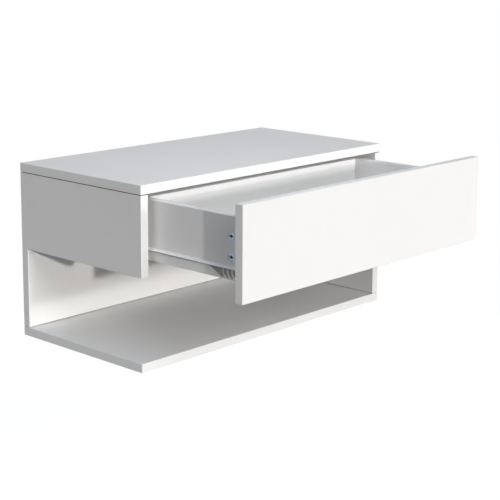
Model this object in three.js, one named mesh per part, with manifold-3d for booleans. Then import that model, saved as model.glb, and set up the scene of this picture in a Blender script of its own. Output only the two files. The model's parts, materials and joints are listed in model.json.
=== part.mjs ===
// Wall-hung bedside cabinet with one drawer, shown with the drawer pulled out to its stop.
//
// Millimetres, +Z up. The origin is the centre of the rear face, the one that lies on the wall:
// +X runs to the right, +Y into the wall, so the front edges of the cabinet are at Y = -DEPTH.
// The cabinet is a top, a shelf and a back with a short left side and a full right side, so the
// lower compartment is open at the front and at the left. The drawer hangs on a pair of roller
// runners, and its front covers the front edges of the top and of the short side.

import * as THREE from 'three';
import { mergeVertices } from 'three/addons/utils/BufferGeometryUtils.js';
import Module from 'manifold-3d';

const wasm = await Module();
wasm.setup();

// Cabinet.
const WIDTH = 600;
const DEPTH = 300;
const HEIGHT = 300;
const BOARD = 15; // every board but the drawer bottom
const FRONT_HEIGHT = 147; // drawer front, whose lower edge lines up with the short left side
const ARRIS = 0.4; // small break along each board edge
const SEAM = 0.3; // hairline between two boards that butt together
const CLEARANCE = 0.3; // between a fitting and its hole or its neighbour
const OVERRUN = 4; // how far a cutter runs past the face that it opens

// Drawer box.
const DRAWER_TOP_GAP = 11.5; // top panel to the upper edge of the drawer box
const DRAWER_LIFT = 24.5; // lower edge of the drawer front to that of the drawer box
const DRAWER_BACK_INSET = 10; // rear ends of the drawer sides to the drawer back
const REAR_SPACE = 35; // behind the closed drawer
const BOTTOM_SHEET = 3; // thickness of the drawer bottom
const BOTTOM_RISE = 10; // lower edge of the drawer side to the drawer bottom
const GROOVE_DEPTH = 6;

// Roller runners, folded from sheet steel.
const RUNNER_SPACE = 12.5; // cabinet side to drawer side
const STEEL = 1.2;
const BEND = 1.6; // from a fold's corner to where the fold begins
const BEND_STEPS = 3;
const RUNNER_OVERLAP = 50; // length of the drawer runner that stays in the cabinet when open
const RUNNER_SETBACK = 10; // cabinet's front edge to the cabinet runner
const FLANGE_RISE = 18.5; // lower edge of the drawer side to the top of the drawer runner
const FLANGE_REACH = 9; // outwards from the drawer side
const WRAP_REACH = 10; // inwards under the drawer side
const CHANNEL_DROP = 1; // drawer runner's flange to the cabinet runner under it
const STOP_DROP = 4; // tab that stops the rear roller, bent down from the channel's top

// Rollers and the pins that they turn on.
const FRONT_ROLLER_RADIUS = 8.5;
const REAR_ROLLER_RADIUS = 7.5;
const ROLLER_WIDTH = 5.5;
const ROLLER_PLAY = 0.6; // over the rear roller, inside the channel
const ROLLER_CROWN = 0.6;
const FRONT_AXLE_INSET = 20; // cabinet's front edges to the front roller's axis
const REAR_AXLE_INSET = 8; // rear end of the drawer runner to the rear roller's axis
const PIN_RADIUS = 2.2;
const PIN_COLLAR = 3.8;
const COLLAR_LENGTH = 0.5;
const PIN_HEAD = 3.6;
const PIN_HEAD_LENGTH = 1;
const HUB_WALL = 1.1; // ring round the pin's head, proud of the roller's dished face
const DISH_DEPTH = 0.9;
const RIM_WALL = 1.3;

// Ribbed clip at the front of the drawer runner.
const CLIP_DEPTH = 2.2;
const CLIP_BASE = 0.7; // thickness between the ribs
const CLIP_TOP_LENGTH = 80;
const CLIP_FOOT_LENGTH = 52; // shorter than the top, so the rear end slants
const CLIP_FOOT_RISE = 2.5; // lower edge of the runner to the clip
const CLIP_EDGE = 2.2; // width of the raised edge
const RIB_PITCH = 9.4;
const RIB_WIDTH = 2.4;
const RIB_START = 12; // drawer front to the first rib's crest
const RIB_BOW = 11; // radius of a rib seen from the side
const RIB_SWEEP = 0.62; // half of the rib's arc, in radians

// Cam locks and their bolts.
const CAM_RADIUS = 7.2;
const CAM_DEPTH = 11.8;
const CAM_REACH = 34; // edge of the board to the cam's centre
const CAM_CHAMBER = 4.6; // radius of the room for the bolt's head
const CAM_SWING_START = -0.55; // the neck's slot, as an angle from the bolt
const CAM_SWING_END = 1.9;
const CAM_ARRIS = 0.5;
const CROSS_LENGTH = 7.4;
const CROSS_WIDTH = 1.5;
const CROSS_DEPTH = 2.4;
const BOLT_THREAD = 2.9;
const BOLT_THREAD_LENGTH = 10.5;
const BOLT_COLLAR = 3.6;
const BOLT_COLLAR_LENGTH = 1.2;
const BOLT_SHAFT = 3.1;
const BOLT_NECK = 1.9;
const BOLT_HEAD = 3.1;
const BOLT_HEAD_HALF = 2.2; // half of the head's length
const TOP_CAM_FRONT = 50; // front edge to the front cam under the top
const TOP_CAM_REAR = 70; // back panel to the rear one

// Screws. sink is a countersunk head's depth and crown a pan head's height.
const BOARD_SCREW = { shank: 3.2, length: 48, head: 5, sink: 4, crown: 0, cross: 5 };
const DRAWER_SCREW = { shank: 1.9, length: 38, head: 3.8, sink: 2.6, crown: 0, cross: 3.8 };
const RUNNER_SCREW = { shank: 1.7, length: 11, head: 3.2, sink: 0, crown: 0.9, cross: 3.2 };
const UNDER_SCREW = { shank: 1.6, length: 8.5, head: 3, sink: 0, crown: 1, cross: 3 };
const HEAD_RIM = 0.5; // straight edge of a countersunk head
const CROSS_SHARE = 0.24; // width of a screw's cross, of its length
const WALL_SCREW_HOLE = 2.8;
const WALL_HEAD_HOLE = 5.4;
const WALL_HEAD_SINK = 3;

// Places along a board, as shares of its length or height.
const DRAWER_CAM_SHARES = [0.35, 0.68];
const DRAWER_SCREW_SHARES = [0.3, 0.75];
const LEFT_SCREW_SHARES = [0.25, 0.6];
const RIGHT_SCREW_SHARES = [0.2, 0.75];
const SHELF_SCREW_SHARES = [0.2, 0.8];
const SHELF_SIDE_SHARES = [0.2, 0.78];
const RUNNER_SCREW_SHARES = [0.3, 0.72];
const UNDER_SCREW_SHARES = [0.2, 0.8];
const WALL_HOLE_SHARES = [0.16, 0.5, 0.84];
const WALL_HOLE_HEIGHT_SHARE = 0.84;

const ROLLER_SIDES = 18;
const CAM_SIDES = 16;
const SLIM_SIDES = 8; // screws, bolts and pins
const CURVE_STEPS = 4; // along an arc of an outline

// Planes of the cabinet.
const left = -WIDTH / 2;
const right = WIDTH / 2;
const front = -DEPTH;
const floorZ = -HEIGHT / 2;
const topZ = HEIGHT / 2;
const underTop = topZ - BOARD;
const shelfTop = floorZ + BOARD;
const backFace = -BOARD;
const frontFoot = topZ - FRONT_HEIGHT;
const inner = left + BOARD;

// Planes of the drawer, closed. The drawer's group moves it out.
const runnerLength = DEPTH - BOARD - REAR_SPACE;
const travel = runnerLength - RUNNER_OVERLAP;
const boxOuter = inner + RUNNER_SPACE;
const boxInner = boxOuter + BOARD;
const boxFoot = frontFoot + DRAWER_LIFT;
const boxTop = underTop - DRAWER_TOP_GAP;
const boxFront = front + SEAM;
const boxRear = front + runnerLength;
const drawerBackRear = boxRear - DRAWER_BACK_INSET;
const drawerBackFront = drawerBackRear - BOARD;
const sheetFoot = boxFoot + BOTTOM_RISE;
const sheetTop = sheetFoot + BOTTOM_SHEET;

// Levels and faces of the left runner pair.
const runnerUnder = boxFoot - CLEARANCE - STEEL;
const flangeTop = boxFoot + FLANGE_RISE;
const flangeUnder = flangeTop - STEEL;
const frontAxleZ = flangeUnder - CLEARANCE - FRONT_ROLLER_RADIUS;
const channelTop = flangeUnder - CHANNEL_DROP;
const channelCeiling = channelTop - STEEL;
const rearAxleZ = channelCeiling - ROLLER_PLAY - REAR_ROLLER_RADIUS;
const channelFloor = rearAxleZ - REAR_ROLLER_RADIUS - CLEARANCE;
const channelFoot = channelFloor - STEEL;
const frontAxleY = front + FRONT_AXLE_INSET;
const rearAxleY = boxRear - REAR_AXLE_INSET;
const channelWeb = inner + CLEARANCE + STEEL;
const drawerWeb = boxOuter - CLEARANCE - STEEL;
const clipBack = drawerWeb - CLEARANCE;
const clipFace = clipBack - CLIP_DEPTH;
const frontRollerOuter = channelWeb + CLEARANCE + COLLAR_LENGTH + CLEARANCE;
const channelReach = frontRollerOuter + ROLLER_WIDTH;
const rearRollerOuter = drawerWeb - CLEARANCE - COLLAR_LENGTH - CLEARANCE;

const OUT_LEFT = new THREE.Vector3(-1, 0, 0);
const OUT_RIGHT = new THREE.Vector3(1, 0, 0);
const OUT_FRONT = new THREE.Vector3(0, -1, 0);
const OUT_BACK = new THREE.Vector3(0, 1, 0);
const UP = new THREE.Vector3(0, 0, 1);
const DOWN = new THREE.Vector3(0, 0, -1);

function finish(color, roughness, metalness) {
  return () => new THREE.MeshStandardMaterial({ color, roughness, metalness, flatShading: true });
}

const whiteBoard = finish(0xf3f4f5, 0.42, 0);
const whiteSheet = finish(0xf1f1ef, 0.6, 0);
const whiteSteel = finish(0xecedee, 0.38, 0.15);
const whitePlastic = finish(0xe6e7e8, 0.35, 0);
const zinc = finish(0x9fb0c2, 0.32, 0.9);
const plated = finish(0xb9bcc0, 0.3, 0.95);

// A closed mesh with shared corners, and with the slivers at a lathe's poles left out.
function closed(geometry) {
  const bare = geometry.clone();
  bare.deleteAttribute('normal');
  bare.deleteAttribute('uv');
  const merged = mergeVertices(bare);
  const corners = merged.index.array;
  const kept = [];
  for (let i = 0; i < corners.length; i += 3) {
    const [a, b, c] = corners.slice(i, i + 3);
    if (a !== b && b !== c && c !== a) {
      kept.push(a, b, c);
    }
  }
  merged.setIndex(kept);
  return merged;
}

function toSolid(geometry) {
  const mesh = closed(geometry);
  const vertProperties = new Float32Array(mesh.attributes.position.array);
  const triVerts = new Uint32Array(mesh.index.array);
  return new wasm.Manifold(new wasm.Mesh({ numProp: 3, vertProperties, triVerts }));
}

function toGeometry(solid) {
  const mesh = solid.getMesh();
  const geometry = new THREE.BufferGeometry();
  geometry.setAttribute('position', new THREE.BufferAttribute(mesh.vertProperties, 3));
  geometry.setIndex(new THREE.BufferAttribute(mesh.triVerts, 1));
  geometry.computeVertexNormals();
  return geometry;
}

function cut(body, tools) {
  const result = tools.reduce((solid, tool) => solid.subtract(toSolid(tool)), toSolid(body));
  return toGeometry(result);
}

function join(pieces) {
  const [first, ...rest] = pieces.map(toSolid);
  return toGeometry(rest.reduce((solid, piece) => solid.add(piece), first));
}

function mirrored(geometry) {
  const copy = closed(geometry);
  copy.scale(-1, 1, 1);
  const corners = Array.from(copy.index.array);
  for (let i = 0; i < corners.length; i += 3) {
    [corners[i], corners[i + 1]] = [corners[i + 1], corners[i]];
  }
  copy.setIndex(corners);
  copy.computeVertexNormals();
  return copy;
}

function block(low, high) {
  const size = high.map((value, i) => value - low[i]);
  const box = new THREE.BoxGeometry(...size);
  return box.translate(...low.map((value, i) => value + size[i] / 2));
}

// A board with its edges broken, from its lowest to its highest corner.
function board(low, high) {
  const [x, y, z] = high.map((value, i) => value - low[i]);
  const [halfX, halfY] = [x / 2 - ARRIS, y / 2 - ARRIS];
  const nick = ARRIS * (Math.SQRT2 - 1);
  const corners = [
    [halfX - nick, -halfY], [halfX, nick - halfY], [halfX, halfY - nick], [halfX - nick, halfY],
    [nick - halfX, halfY], [-halfX, halfY - nick], [-halfX, nick - halfY], [nick - halfX, -halfY],
  ];
  const outline = new THREE.Shape(corners.map((corner) => new THREE.Vector2(...corner)));
  const slab = new THREE.ExtrudeGeometry(outline, {
    depth: z - 2 * ARRIS,
    bevelThickness: ARRIS,
    bevelSize: ARRIS,
    bevelSegments: 1,
  });
  return slab.translate(low[0] + x / 2, low[1] + y / 2, low[2] + ARRIS);
}

// Extrudes an outline along X (drawn in Y and Z) or along Y (drawn in Z and X).
function extrudeAlong(axis, outline, from, to) {
  const shape = outline instanceof THREE.Shape ? outline : new THREE.Shape(outline);
  const bar = new THREE.ExtrudeGeometry(shape, {
    depth: to - from,
    bevelEnabled: false,
    curveSegments: CURVE_STEPS,
  });
  bar.translate(0, 0, from);
  const [x, y, z] = [OUT_RIGHT, OUT_BACK, UP];
  const turn = new THREE.Matrix4();
  if (axis === 'x') {
    turn.makeBasis(y, z, x);
  } else {
    turn.makeBasis(z, x, y);
  }
  return bar.applyMatrix4(turn);
}

// Revolves a profile of [radius, height] pairs, written from its foot upwards, about Y.
function revolve(profile, sides) {
  return new THREE.LatheGeometry(profile.map((pair) => new THREE.Vector2(...pair)), sides);
}

// Moves a piece that was drawn at the origin along Y to a place, with Y turned to a direction.
function laid(geometry, at, direction) {
  const turn = new THREE.Quaternion().setFromUnitVectors(OUT_BACK, direction);
  return geometry.clone().applyQuaternion(turn).translate(...at);
}

function drilled(radius, from, to, direction, sides) {
  const rod = revolve([[0, 0], [radius, 0], [radius, to - from], [0, to - from]], sides);
  const at = direction.clone().multiplyScalar(from);
  return (place) => laid(rod, [place[0] + at.x, place[1] + at.y, place[2] + at.z], direction);
}

// The outline of a strip of sheet metal, folded along a path of its middle line.
function foldedOutline(path, thickness) {
  const middle = path.flatMap((point, i) => {
    if (i === 0 || i === path.length - 1) {
      return [point];
    }
    const before = path[i - 1].clone().sub(point).setLength(BEND).add(point);
    const after = path[i + 1].clone().sub(point).setLength(BEND).add(point);
    return new THREE.QuadraticBezierCurve(before, point, after).getPoints(BEND_STEPS);
  });
  const side = (offset) => middle.map((point, i) => {
    const ahead = middle[Math.min(i + 1, middle.length - 1)];
    const behind = middle[Math.max(i - 1, 0)];
    const along = ahead.clone().sub(behind).setLength(offset);
    return new THREE.Vector2(point.x - along.y, point.y + along.x);
  });
  return [...side(-thickness / 2), ...side(thickness / 2).reverse()];
}

function between(low, high, share) {
  return low + (high - low) * share;
}

// Screws. Each is drawn with its length along -Y and the seat of its head at the origin.
function screwProfile(kind, extra) {
  const shank = kind.shank + extra;
  const head = kind.head + extra;
  const tip = [[0, -kind.length - extra], [shank / 2, -kind.length - extra]];
  const body = [shank, kind.shank - kind.length];
  if (kind.crown > 0) {
    return [...tip, body, [shank, 0], [head, 0], [head, kind.crown / 2]];
  }
  return [...tip, body, [shank, -kind.sink - extra], [head, -HEAD_RIM - extra], [head, 0]];
}

function screwGeometry(kind) {
  const capped = [...screwProfile(kind, 0), [kind.head - HEAD_RIM, kind.crown], [0, kind.crown]];
  const width = kind.cross * CROSS_SHARE;
  const depth = kind.crown > 0 ? kind.crown - CLEARANCE : kind.sink / 2;
  const [long, wide, high] = [kind.cross / 2, width / 2, kind.crown];
  const slots = [
    block([-long, high - depth, -wide], [long, high + OVERRUN, wide]),
    block([-wide, high - depth, -long], [wide, high + OVERRUN, long]),
  ];
  return cut(revolve(capped, SLIM_SIDES), slots);
}

function screwSpace(kind) {
  const sides = screwProfile(kind, CLEARANCE);
  const [mouth] = sides[sides.length - 1];
  return revolve([...sides, [mouth, OVERRUN], [0, OVERRUN]], SLIM_SIDES);
}

// Cam bolt, drawn along +Y from the face of the board that it is driven into.
function boltGeometry() {
  const shaftEnd = CAM_REACH - CAM_RADIUS - 2 * CLEARANCE;
  const profile = [
    [0, -BOLT_THREAD_LENGTH],
    [BOLT_THREAD, -BOLT_THREAD_LENGTH],
    [BOLT_THREAD, 0],
    [BOLT_COLLAR, 0],
    [BOLT_COLLAR, BOLT_COLLAR_LENGTH],
    [BOLT_SHAFT, BOLT_COLLAR_LENGTH],
    [BOLT_SHAFT, shaftEnd],
    [BOLT_NECK, shaftEnd],
    [BOLT_NECK, CAM_REACH - BOLT_HEAD_HALF],
    [BOLT_HEAD, CAM_REACH - BOLT_HEAD_HALF / 2],
    [BOLT_HEAD, CAM_REACH + BOLT_HEAD_HALF / 2],
    [BOLT_NECK, CAM_REACH + BOLT_HEAD_HALF],
    [0, CAM_REACH + BOLT_HEAD_HALF],
  ];
  return cut(revolve(profile, SLIM_SIDES), []);
}

function boltSpace() {
  const bore = BOLT_COLLAR + CLEARANCE;
  const thread = BOLT_THREAD + CLEARANCE;
  const end = BOLT_THREAD_LENGTH + CLEARANCE;
  const profile = [[0, -end], [thread, -end], [thread, 0], [bore, 0], [bore, CAM_REACH], [0, CAM_REACH]];
  return revolve(profile, SLIM_SIDES);
}

// Cam lock: a disc that is turned by its cross and pulls the bolt's head inwards. It is drawn
// with its face up at the origin and the bolt coming along +Y, at half of the board's thickness.
function camGeometry() {
  const profile = [
    [0, -CAM_DEPTH],
    [CAM_RADIUS - CAM_ARRIS, -CAM_DEPTH],
    [CAM_RADIUS, CAM_ARRIS - CAM_DEPTH],
    [CAM_RADIUS, -CAM_ARRIS],
    [CAM_RADIUS - CAM_ARRIS, 0],
    [0, 0],
  ];
  const disc = laid(revolve(profile, CAM_SIDES), [0, 0, 0], UP);
  const middle = -BOARD / 2;
  const room = BOLT_HEAD + CLEARANCE;
  const chamber = drilled(CAM_CHAMBER, middle - room, middle + room, UP, CAM_SIDES)([0, 0, 0]);
  const slotShape = new THREE.Shape();
  const turn = Math.PI / 2;
  slotShape.absarc(0, 0, CAM_RADIUS + OVERRUN, turn + CAM_SWING_START, turn + CAM_SWING_END, false);
  slotShape.lineTo(0, 0);
  const neck = BOLT_NECK + CLEARANCE;
  const slot = new THREE.ExtrudeGeometry(slotShape, {
    depth: 2 * neck,
    bevelEnabled: false,
    curveSegments: CURVE_STEPS,
  });
  slot.translate(0, 0, middle - neck);
  const entry = new THREE.Vector3(-Math.sin(CAM_SWING_END), Math.cos(CAM_SWING_END), 0);
  const mouth = drilled(room, 0, CAM_RADIUS + OVERRUN, entry, SLIM_SIDES)([0, 0, middle]);
  const [long, wide] = [CROSS_LENGTH / 2, CROSS_WIDTH / 2];
  const cross = [
    block([-long, -wide, -CROSS_DEPTH], [long, wide, OVERRUN]),
    block([-wide, -long, -CROSS_DEPTH], [wide, long, OVERRUN]),
  ];
  return cut(disc, [chamber, slot, mouth, ...cross]);
}

function camSpace(at, face) {
  return drilled(CAM_RADIUS + CLEARANCE, -CAM_DEPTH - CLEARANCE, OVERRUN, face, CAM_SIDES)(at);
}

// Every fitting has a name, a place, the direction that its head faces and the pieces it goes
// through. Those pieces are cut with the fitting's own space.
const carcassFixings = [];
const drawerFixings = [];

function addScrew(list, name, kind, at, out, holds) {
  const geometry = screwGeometry(kind);
  const paint = plated();
  const rotate = new THREE.Quaternion().setFromUnitVectors(OUT_BACK, out);
  list.push({ name, geometry, paint, at, rotate, holds, space: laid(screwSpace(kind), at, out) });
}

// A cam in one board and its bolt, driven into another. face is the way the cam looks and reach
// the way from the cam to the bolt's board.
function addCam(list, name, at, face, reach, camBoard, boltBoard) {
  const across = new THREE.Vector3().crossVectors(reach, face);
  const basis = new THREE.Matrix4().makeBasis(across, reach, face);
  list.push({
    name: `${name}_lock`,
    geometry: camGeometry(),
    paint: zinc(),
    at,
    rotate: new THREE.Quaternion().setFromRotationMatrix(basis),
    holds: [camBoard],
    space: camSpace(at, face),
  });
  const foot = new THREE.Vector3(...at).addScaledVector(reach, CAM_REACH).addScaledVector(face, -BOARD / 2);
  const inwards = reach.clone().negate();
  list.push({
    name: `${name}_bolt`,
    geometry: boltGeometry(),
    paint: plated(),
    at: foot.toArray(),
    rotate: new THREE.Quaternion().setFromUnitVectors(OUT_BACK, inwards),
    holds: [camBoard, boltBoard],
    space: laid(boltSpace(), foot.toArray(), inwards),
  });
}

const SIDES = [
  { word: 'left', sign: 1 },
  { word: 'right', sign: -1 },
];
const ENDS = ['front', 'rear'];
const LEVELS = ['lower', 'upper'];

// The top sits on four cams, two in each side.
const topCamZ = underTop - CAM_REACH;
for (const { word, sign } of SIDES) {
  const face = OUT_RIGHT.clone().multiplyScalar(sign);
  const places = [front + TOP_CAM_FRONT, backFace - TOP_CAM_REAR];
  places.forEach((y, i) => {
    const name = `top_cam_${word}_${ENDS[i]}`;
    addCam(carcassFixings, name, [sign * inner, y, topCamZ], face, UP, `${word}_side_panel`, 'top_panel');
  });
}

// The back is screwed to both sides from behind, and the shelf to the back and side from below.
const sideMiddle = left + BOARD / 2;
const sideFeet = { left: frontFoot, right: shelfTop };
const backShares = { left: LEFT_SCREW_SHARES, right: RIGHT_SCREW_SHARES };
for (const { word, sign } of SIDES) {
  backShares[word].forEach((share, i) => {
    const name = `back_screw_${word}_${LEVELS[i]}`;
    const at = [sign * sideMiddle, 0, between(sideFeet[word], underTop, share)];
    addScrew(carcassFixings, name, BOARD_SCREW, at, OUT_BACK, ['back_panel', `${word}_side_panel`]);
  });
}
SHELF_SCREW_SHARES.forEach((share, i) => {
  const name = `shelf_screw_back_${SIDES[i].word}`;
  const at = [between(left, right, share), backFace / 2, floorZ];
  addScrew(carcassFixings, name, BOARD_SCREW, at, DOWN, ['shelf_panel', 'back_panel']);
});
SHELF_SIDE_SHARES.forEach((share, i) => {
  const name = `shelf_screw_side_${ENDS[i]}`;
  const at = [-sideMiddle, between(front, backFace, share), floorZ];
  addScrew(carcassFixings, name, BOARD_SCREW, at, DOWN, ['shelf_panel', 'right_side_panel']);
});

// Runner screws: the cabinet runner's go into the side, the drawer runner's up into the box.
const channelMiddle = (channelTop + channelFoot) / 2;
const underScrewX = boxOuter + WRAP_REACH / 2;
for (const { word, sign } of SIDES) {
  const inwards = OUT_RIGHT.clone().multiplyScalar(sign);
  const outwards = inwards.clone().negate();
  const boxSide = `drawer_side_${word}`;
  RUNNER_SCREW_SHARES.forEach((share, i) => {
    const name = `cabinet_runner_screw_${word}_${ENDS[i]}`;
    const at = [sign * (channelWeb + CLEARANCE), front + runnerLength * share, channelMiddle];
    const holds = [`${word}_side_panel`, `cabinet_runner_${word}`];
    addScrew(carcassFixings, name, RUNNER_SCREW, at, inwards, holds);
  });
  UNDER_SCREW_SHARES.forEach((share, i) => {
    const name = `drawer_runner_screw_${word}_${ENDS[i]}`;
    const at = [sign * underScrewX, front + runnerLength * share, runnerUnder - CLEARANCE];
    addScrew(drawerFixings, name, UNDER_SCREW, at, DOWN, [boxSide, `drawer_runner_${word}`]);
  });
  DRAWER_CAM_SHARES.forEach((share, i) => {
    const name = `drawer_cam_${word}_${LEVELS[i]}`;
    const at = [sign * boxOuter, front + CAM_REACH, between(boxFoot, boxTop, share)];
    addCam(drawerFixings, name, at, outwards, OUT_FRONT, boxSide, 'drawer_front');
  });
  DRAWER_SCREW_SHARES.forEach((share, i) => {
    const name = `drawer_screw_${word}_${LEVELS[i]}`;
    const at = [sign * boxOuter, (drawerBackFront + drawerBackRear) / 2, between(flangeTop, boxTop, share)];
    addScrew(drawerFixings, name, DRAWER_SCREW, at, outwards, [boxSide, 'drawer_back']);
  });
}

const allFixings = [...carcassFixings, ...drawerFixings];

function spacesIn(name) {
  return allFixings.filter((fixing) => fixing.holds.includes(name)).map((fixing) => fixing.space);
}

// Adds a piece to a group. Its geometry is moved to its own middle and the mesh back out.
function addPiece(group, name, geometry, paint) {
  geometry.computeBoundingBox();
  const middle = geometry.boundingBox.getCenter(new THREE.Vector3());
  const mesh = new THREE.Mesh(geometry.translate(-middle.x, -middle.y, -middle.z), paint());
  mesh.name = name;
  mesh.position.copy(middle);
  group.add(mesh);
}

function addBoard(group, name, low, high, cuts = []) {
  addPiece(group, name, cut(board(low, high), [...spacesIn(name), ...cuts]), whiteBoard);
}

function addFixings(group, fixings) {
  for (const fixing of fixings) {
    const mesh = new THREE.Mesh(fixing.geometry, fixing.paint);
    mesh.name = fixing.name;
    mesh.position.set(...fixing.at);
    mesh.quaternion.copy(fixing.rotate);
    group.add(mesh);
  }
}

// Countersunk holes for the wall screws, in the back panel behind the drawer.
function wallHoles() {
  const profile = [
    [0, -OVERRUN - BOARD],
    [WALL_SCREW_HOLE, -OVERRUN - BOARD],
    [WALL_SCREW_HOLE, -WALL_HEAD_SINK],
    [WALL_HEAD_HOLE, 0],
    [WALL_HEAD_HOLE, OVERRUN],
    [0, OVERRUN],
  ];
  const z = between(shelfTop, underTop, WALL_HOLE_HEIGHT_SHARE);
  return WALL_HOLE_SHARES.map((share) => {
    return laid(revolve(profile, SLIM_SIDES), [between(left, right, share), backFace, z], OUT_FRONT);
  });
}

function buildCarcassBoards(group) {
  addBoard(group, 'top_panel', [left, front, underTop], [right, 0, topZ]);
  addBoard(group, 'shelf_panel', [left, front, floorZ], [right, 0, shelfTop]);
  const foot = shelfTop + SEAM;
  const head = underTop - SEAM;
  const rear = backFace - SEAM;
  addBoard(group, 'back_panel', [left, backFace, foot], [right, 0, head], wallHoles());
  addBoard(group, 'left_side_panel', [left, front, frontFoot], [inner, rear, head]);
  addBoard(group, 'right_side_panel', [-inner, front, foot], [right, rear, head]);
}

function pinSpace(at) {
  return drilled(PIN_RADIUS + CLEARANCE, -OVERRUN, OVERRUN, OUT_RIGHT, SLIM_SIDES)(at);
}

// Cabinet runner: a channel with its open side towards the drawer. Its top is cut away over
// the front roller, and a tab bent down from the top stops the rear roller.
function cabinetRunner() {
  const web = channelWeb - STEEL / 2;
  const path = [
    new THREE.Vector2(channelTop - STEEL / 2, channelReach),
    new THREE.Vector2(channelTop - STEEL / 2, web),
    new THREE.Vector2(channelFoot + STEEL / 2, web),
    new THREE.Vector2(channelFoot + STEEL / 2, channelReach),
  ];
  const start = front + RUNNER_SETBACK;
  const channel = extrudeAlong('y', foldedOutline(path, STEEL), start, start + runnerLength);
  const notchLow = [channelWeb, start - OVERRUN, channelCeiling - ROLLER_PLAY];
  const notchEnd = frontAxleY + FRONT_ROLLER_RADIUS + 2 * CLEARANCE;
  const notch = block(notchLow, [channelReach + OVERRUN, notchEnd, channelTop + OVERRUN]);
  const tabFoot = channelCeiling - STOP_DROP;
  const rise = tabFoot - rearAxleZ;
  const touch = rearAxleY - travel - Math.sqrt(REAR_ROLLER_RADIUS ** 2 - rise ** 2);
  const tabBack = touch - CLEARANCE;
  const tabLow = [channelWeb + BEND, tabBack - STEEL, tabFoot];
  const tab = block(tabLow, [channelReach, tabBack, channelCeiling + STEEL / 2]);
  const pinHole = pinSpace([inner, frontAxleY, frontAxleZ]);
  return join([cut(channel, [notch, pinHole, ...spacesIn('cabinet_runner_left')]), tab]);
}

// Drawer runner: it wraps under the drawer side, stands against it and turns out as a flange
// that rolls on the front roller.
function drawerRunner() {
  const web = drawerWeb + STEEL / 2;
  const foot = boxFoot - CLEARANCE - STEEL / 2;
  const path = [
    new THREE.Vector2(foot, boxOuter + WRAP_REACH),
    new THREE.Vector2(foot, web),
    new THREE.Vector2(flangeTop - STEEL / 2, web),
    new THREE.Vector2(flangeTop - STEEL / 2, boxOuter - FLANGE_REACH),
  ];
  const strip = extrudeAlong('y', foldedOutline(path, STEEL), boxFront, boxRear);
  const pinHole = pinSpace([boxOuter, rearAxleY, rearAxleZ]);
  return cut(strip, [pinHole, ...spacesIn('drawer_runner_left')]);
}

// Ribbed clip on the outside of the drawer runner, behind the drawer front.
function runnerClip() {
  const low = runnerUnder + CLIP_FOOT_RISE;
  const high = flangeUnder - CLEARANCE;
  const start = boxFront;
  const middle = (low + high) / 2;
  const plate = [
    new THREE.Vector2(start, low),
    new THREE.Vector2(start + CLIP_FOOT_LENGTH, low),
    new THREE.Vector2(start + CLIP_TOP_LENGTH, high),
    new THREE.Vector2(start, high),
  ];
  const slant = [
    new THREE.Vector2(start + CLIP_FOOT_LENGTH - CLIP_EDGE, low),
    new THREE.Vector2(start + CLIP_FOOT_LENGTH, low),
    new THREE.Vector2(start + CLIP_TOP_LENGTH, high),
    new THREE.Vector2(start + CLIP_TOP_LENGTH - CLIP_EDGE, high),
  ];
  const foot = block([clipFace, start, low], [clipBack, start + CLIP_FOOT_LENGTH, low + CLIP_EDGE / 2]);
  const pieces = [
    extrudeAlong('x', plate, clipBack - CLIP_BASE, clipBack),
    extrudeAlong('x', slant, clipFace, clipBack),
    foot,
  ];
  const bow = RIB_BOW * Math.cos(RIB_SWEEP);
  for (let crest = RIB_START; crest < CLIP_FOOT_LENGTH - RIB_WIDTH; crest += RIB_PITCH) {
    const rib = new THREE.Shape();
    const centre = start + crest - RIB_BOW;
    rib.absarc(centre, middle, RIB_BOW, -RIB_SWEEP, RIB_SWEEP, false);
    rib.absarc(centre - RIB_WIDTH / 2, middle, bow, RIB_SWEEP, -RIB_SWEEP, true);
    pieces.push(extrudeAlong('x', rib, clipFace, clipBack));
  }
  return join(pieces);
}

// Nylon roller about Y: bored for its pin, dished on its free face, with room for the pin's head.
function roller(radius) {
  const bore = PIN_RADIUS + CLEARANCE;
  const headRoom = PIN_HEAD + CLEARANCE;
  const recess = PIN_HEAD_LENGTH + CLEARANCE;
  return cut(revolve([
    [bore, 0],
    [radius - ROLLER_CROWN, 0],
    [radius, ROLLER_CROWN],
    [radius, ROLLER_WIDTH - ROLLER_CROWN],
    [radius - ROLLER_CROWN, ROLLER_WIDTH],
    [radius - RIM_WALL, ROLLER_WIDTH],
    [radius - RIM_WALL, ROLLER_WIDTH - DISH_DEPTH],
    [headRoom + HUB_WALL, ROLLER_WIDTH - DISH_DEPTH],
    [headRoom + HUB_WALL, ROLLER_WIDTH],
    [headRoom, ROLLER_WIDTH],
    [headRoom, ROLLER_WIDTH - recess],
    [bore, ROLLER_WIDTH - recess],
    [bore, 0],
  ], ROLLER_SIDES), []);
}

// Roller pin about Y, from the back of the runner's web to the roller's free face.
function rollerPin() {
  const collarStart = STEEL + CLEARANCE;
  const collarEnd = collarStart + COLLAR_LENGTH;
  const end = collarEnd + CLEARANCE + ROLLER_WIDTH;
  return cut(revolve([
    [0, 0],
    [PIN_RADIUS, 0],
    [PIN_RADIUS, collarStart],
    [PIN_COLLAR, collarStart],
    [PIN_COLLAR, collarEnd],
    [PIN_RADIUS, collarEnd],
    [PIN_RADIUS, end - PIN_HEAD_LENGTH],
    [PIN_HEAD, end - PIN_HEAD_LENGTH],
    [PIN_HEAD, end],
    [0, end],
  ], SLIM_SIDES), []);
}

// A left piece and its mirror image on the right.
function addMirroredPair(group, name, geometry, paint) {
  const twin = mirrored(geometry);
  addPiece(group, `${name}_left`, geometry, paint);
  addPiece(group, `${name}_right`, twin, paint);
}

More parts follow.
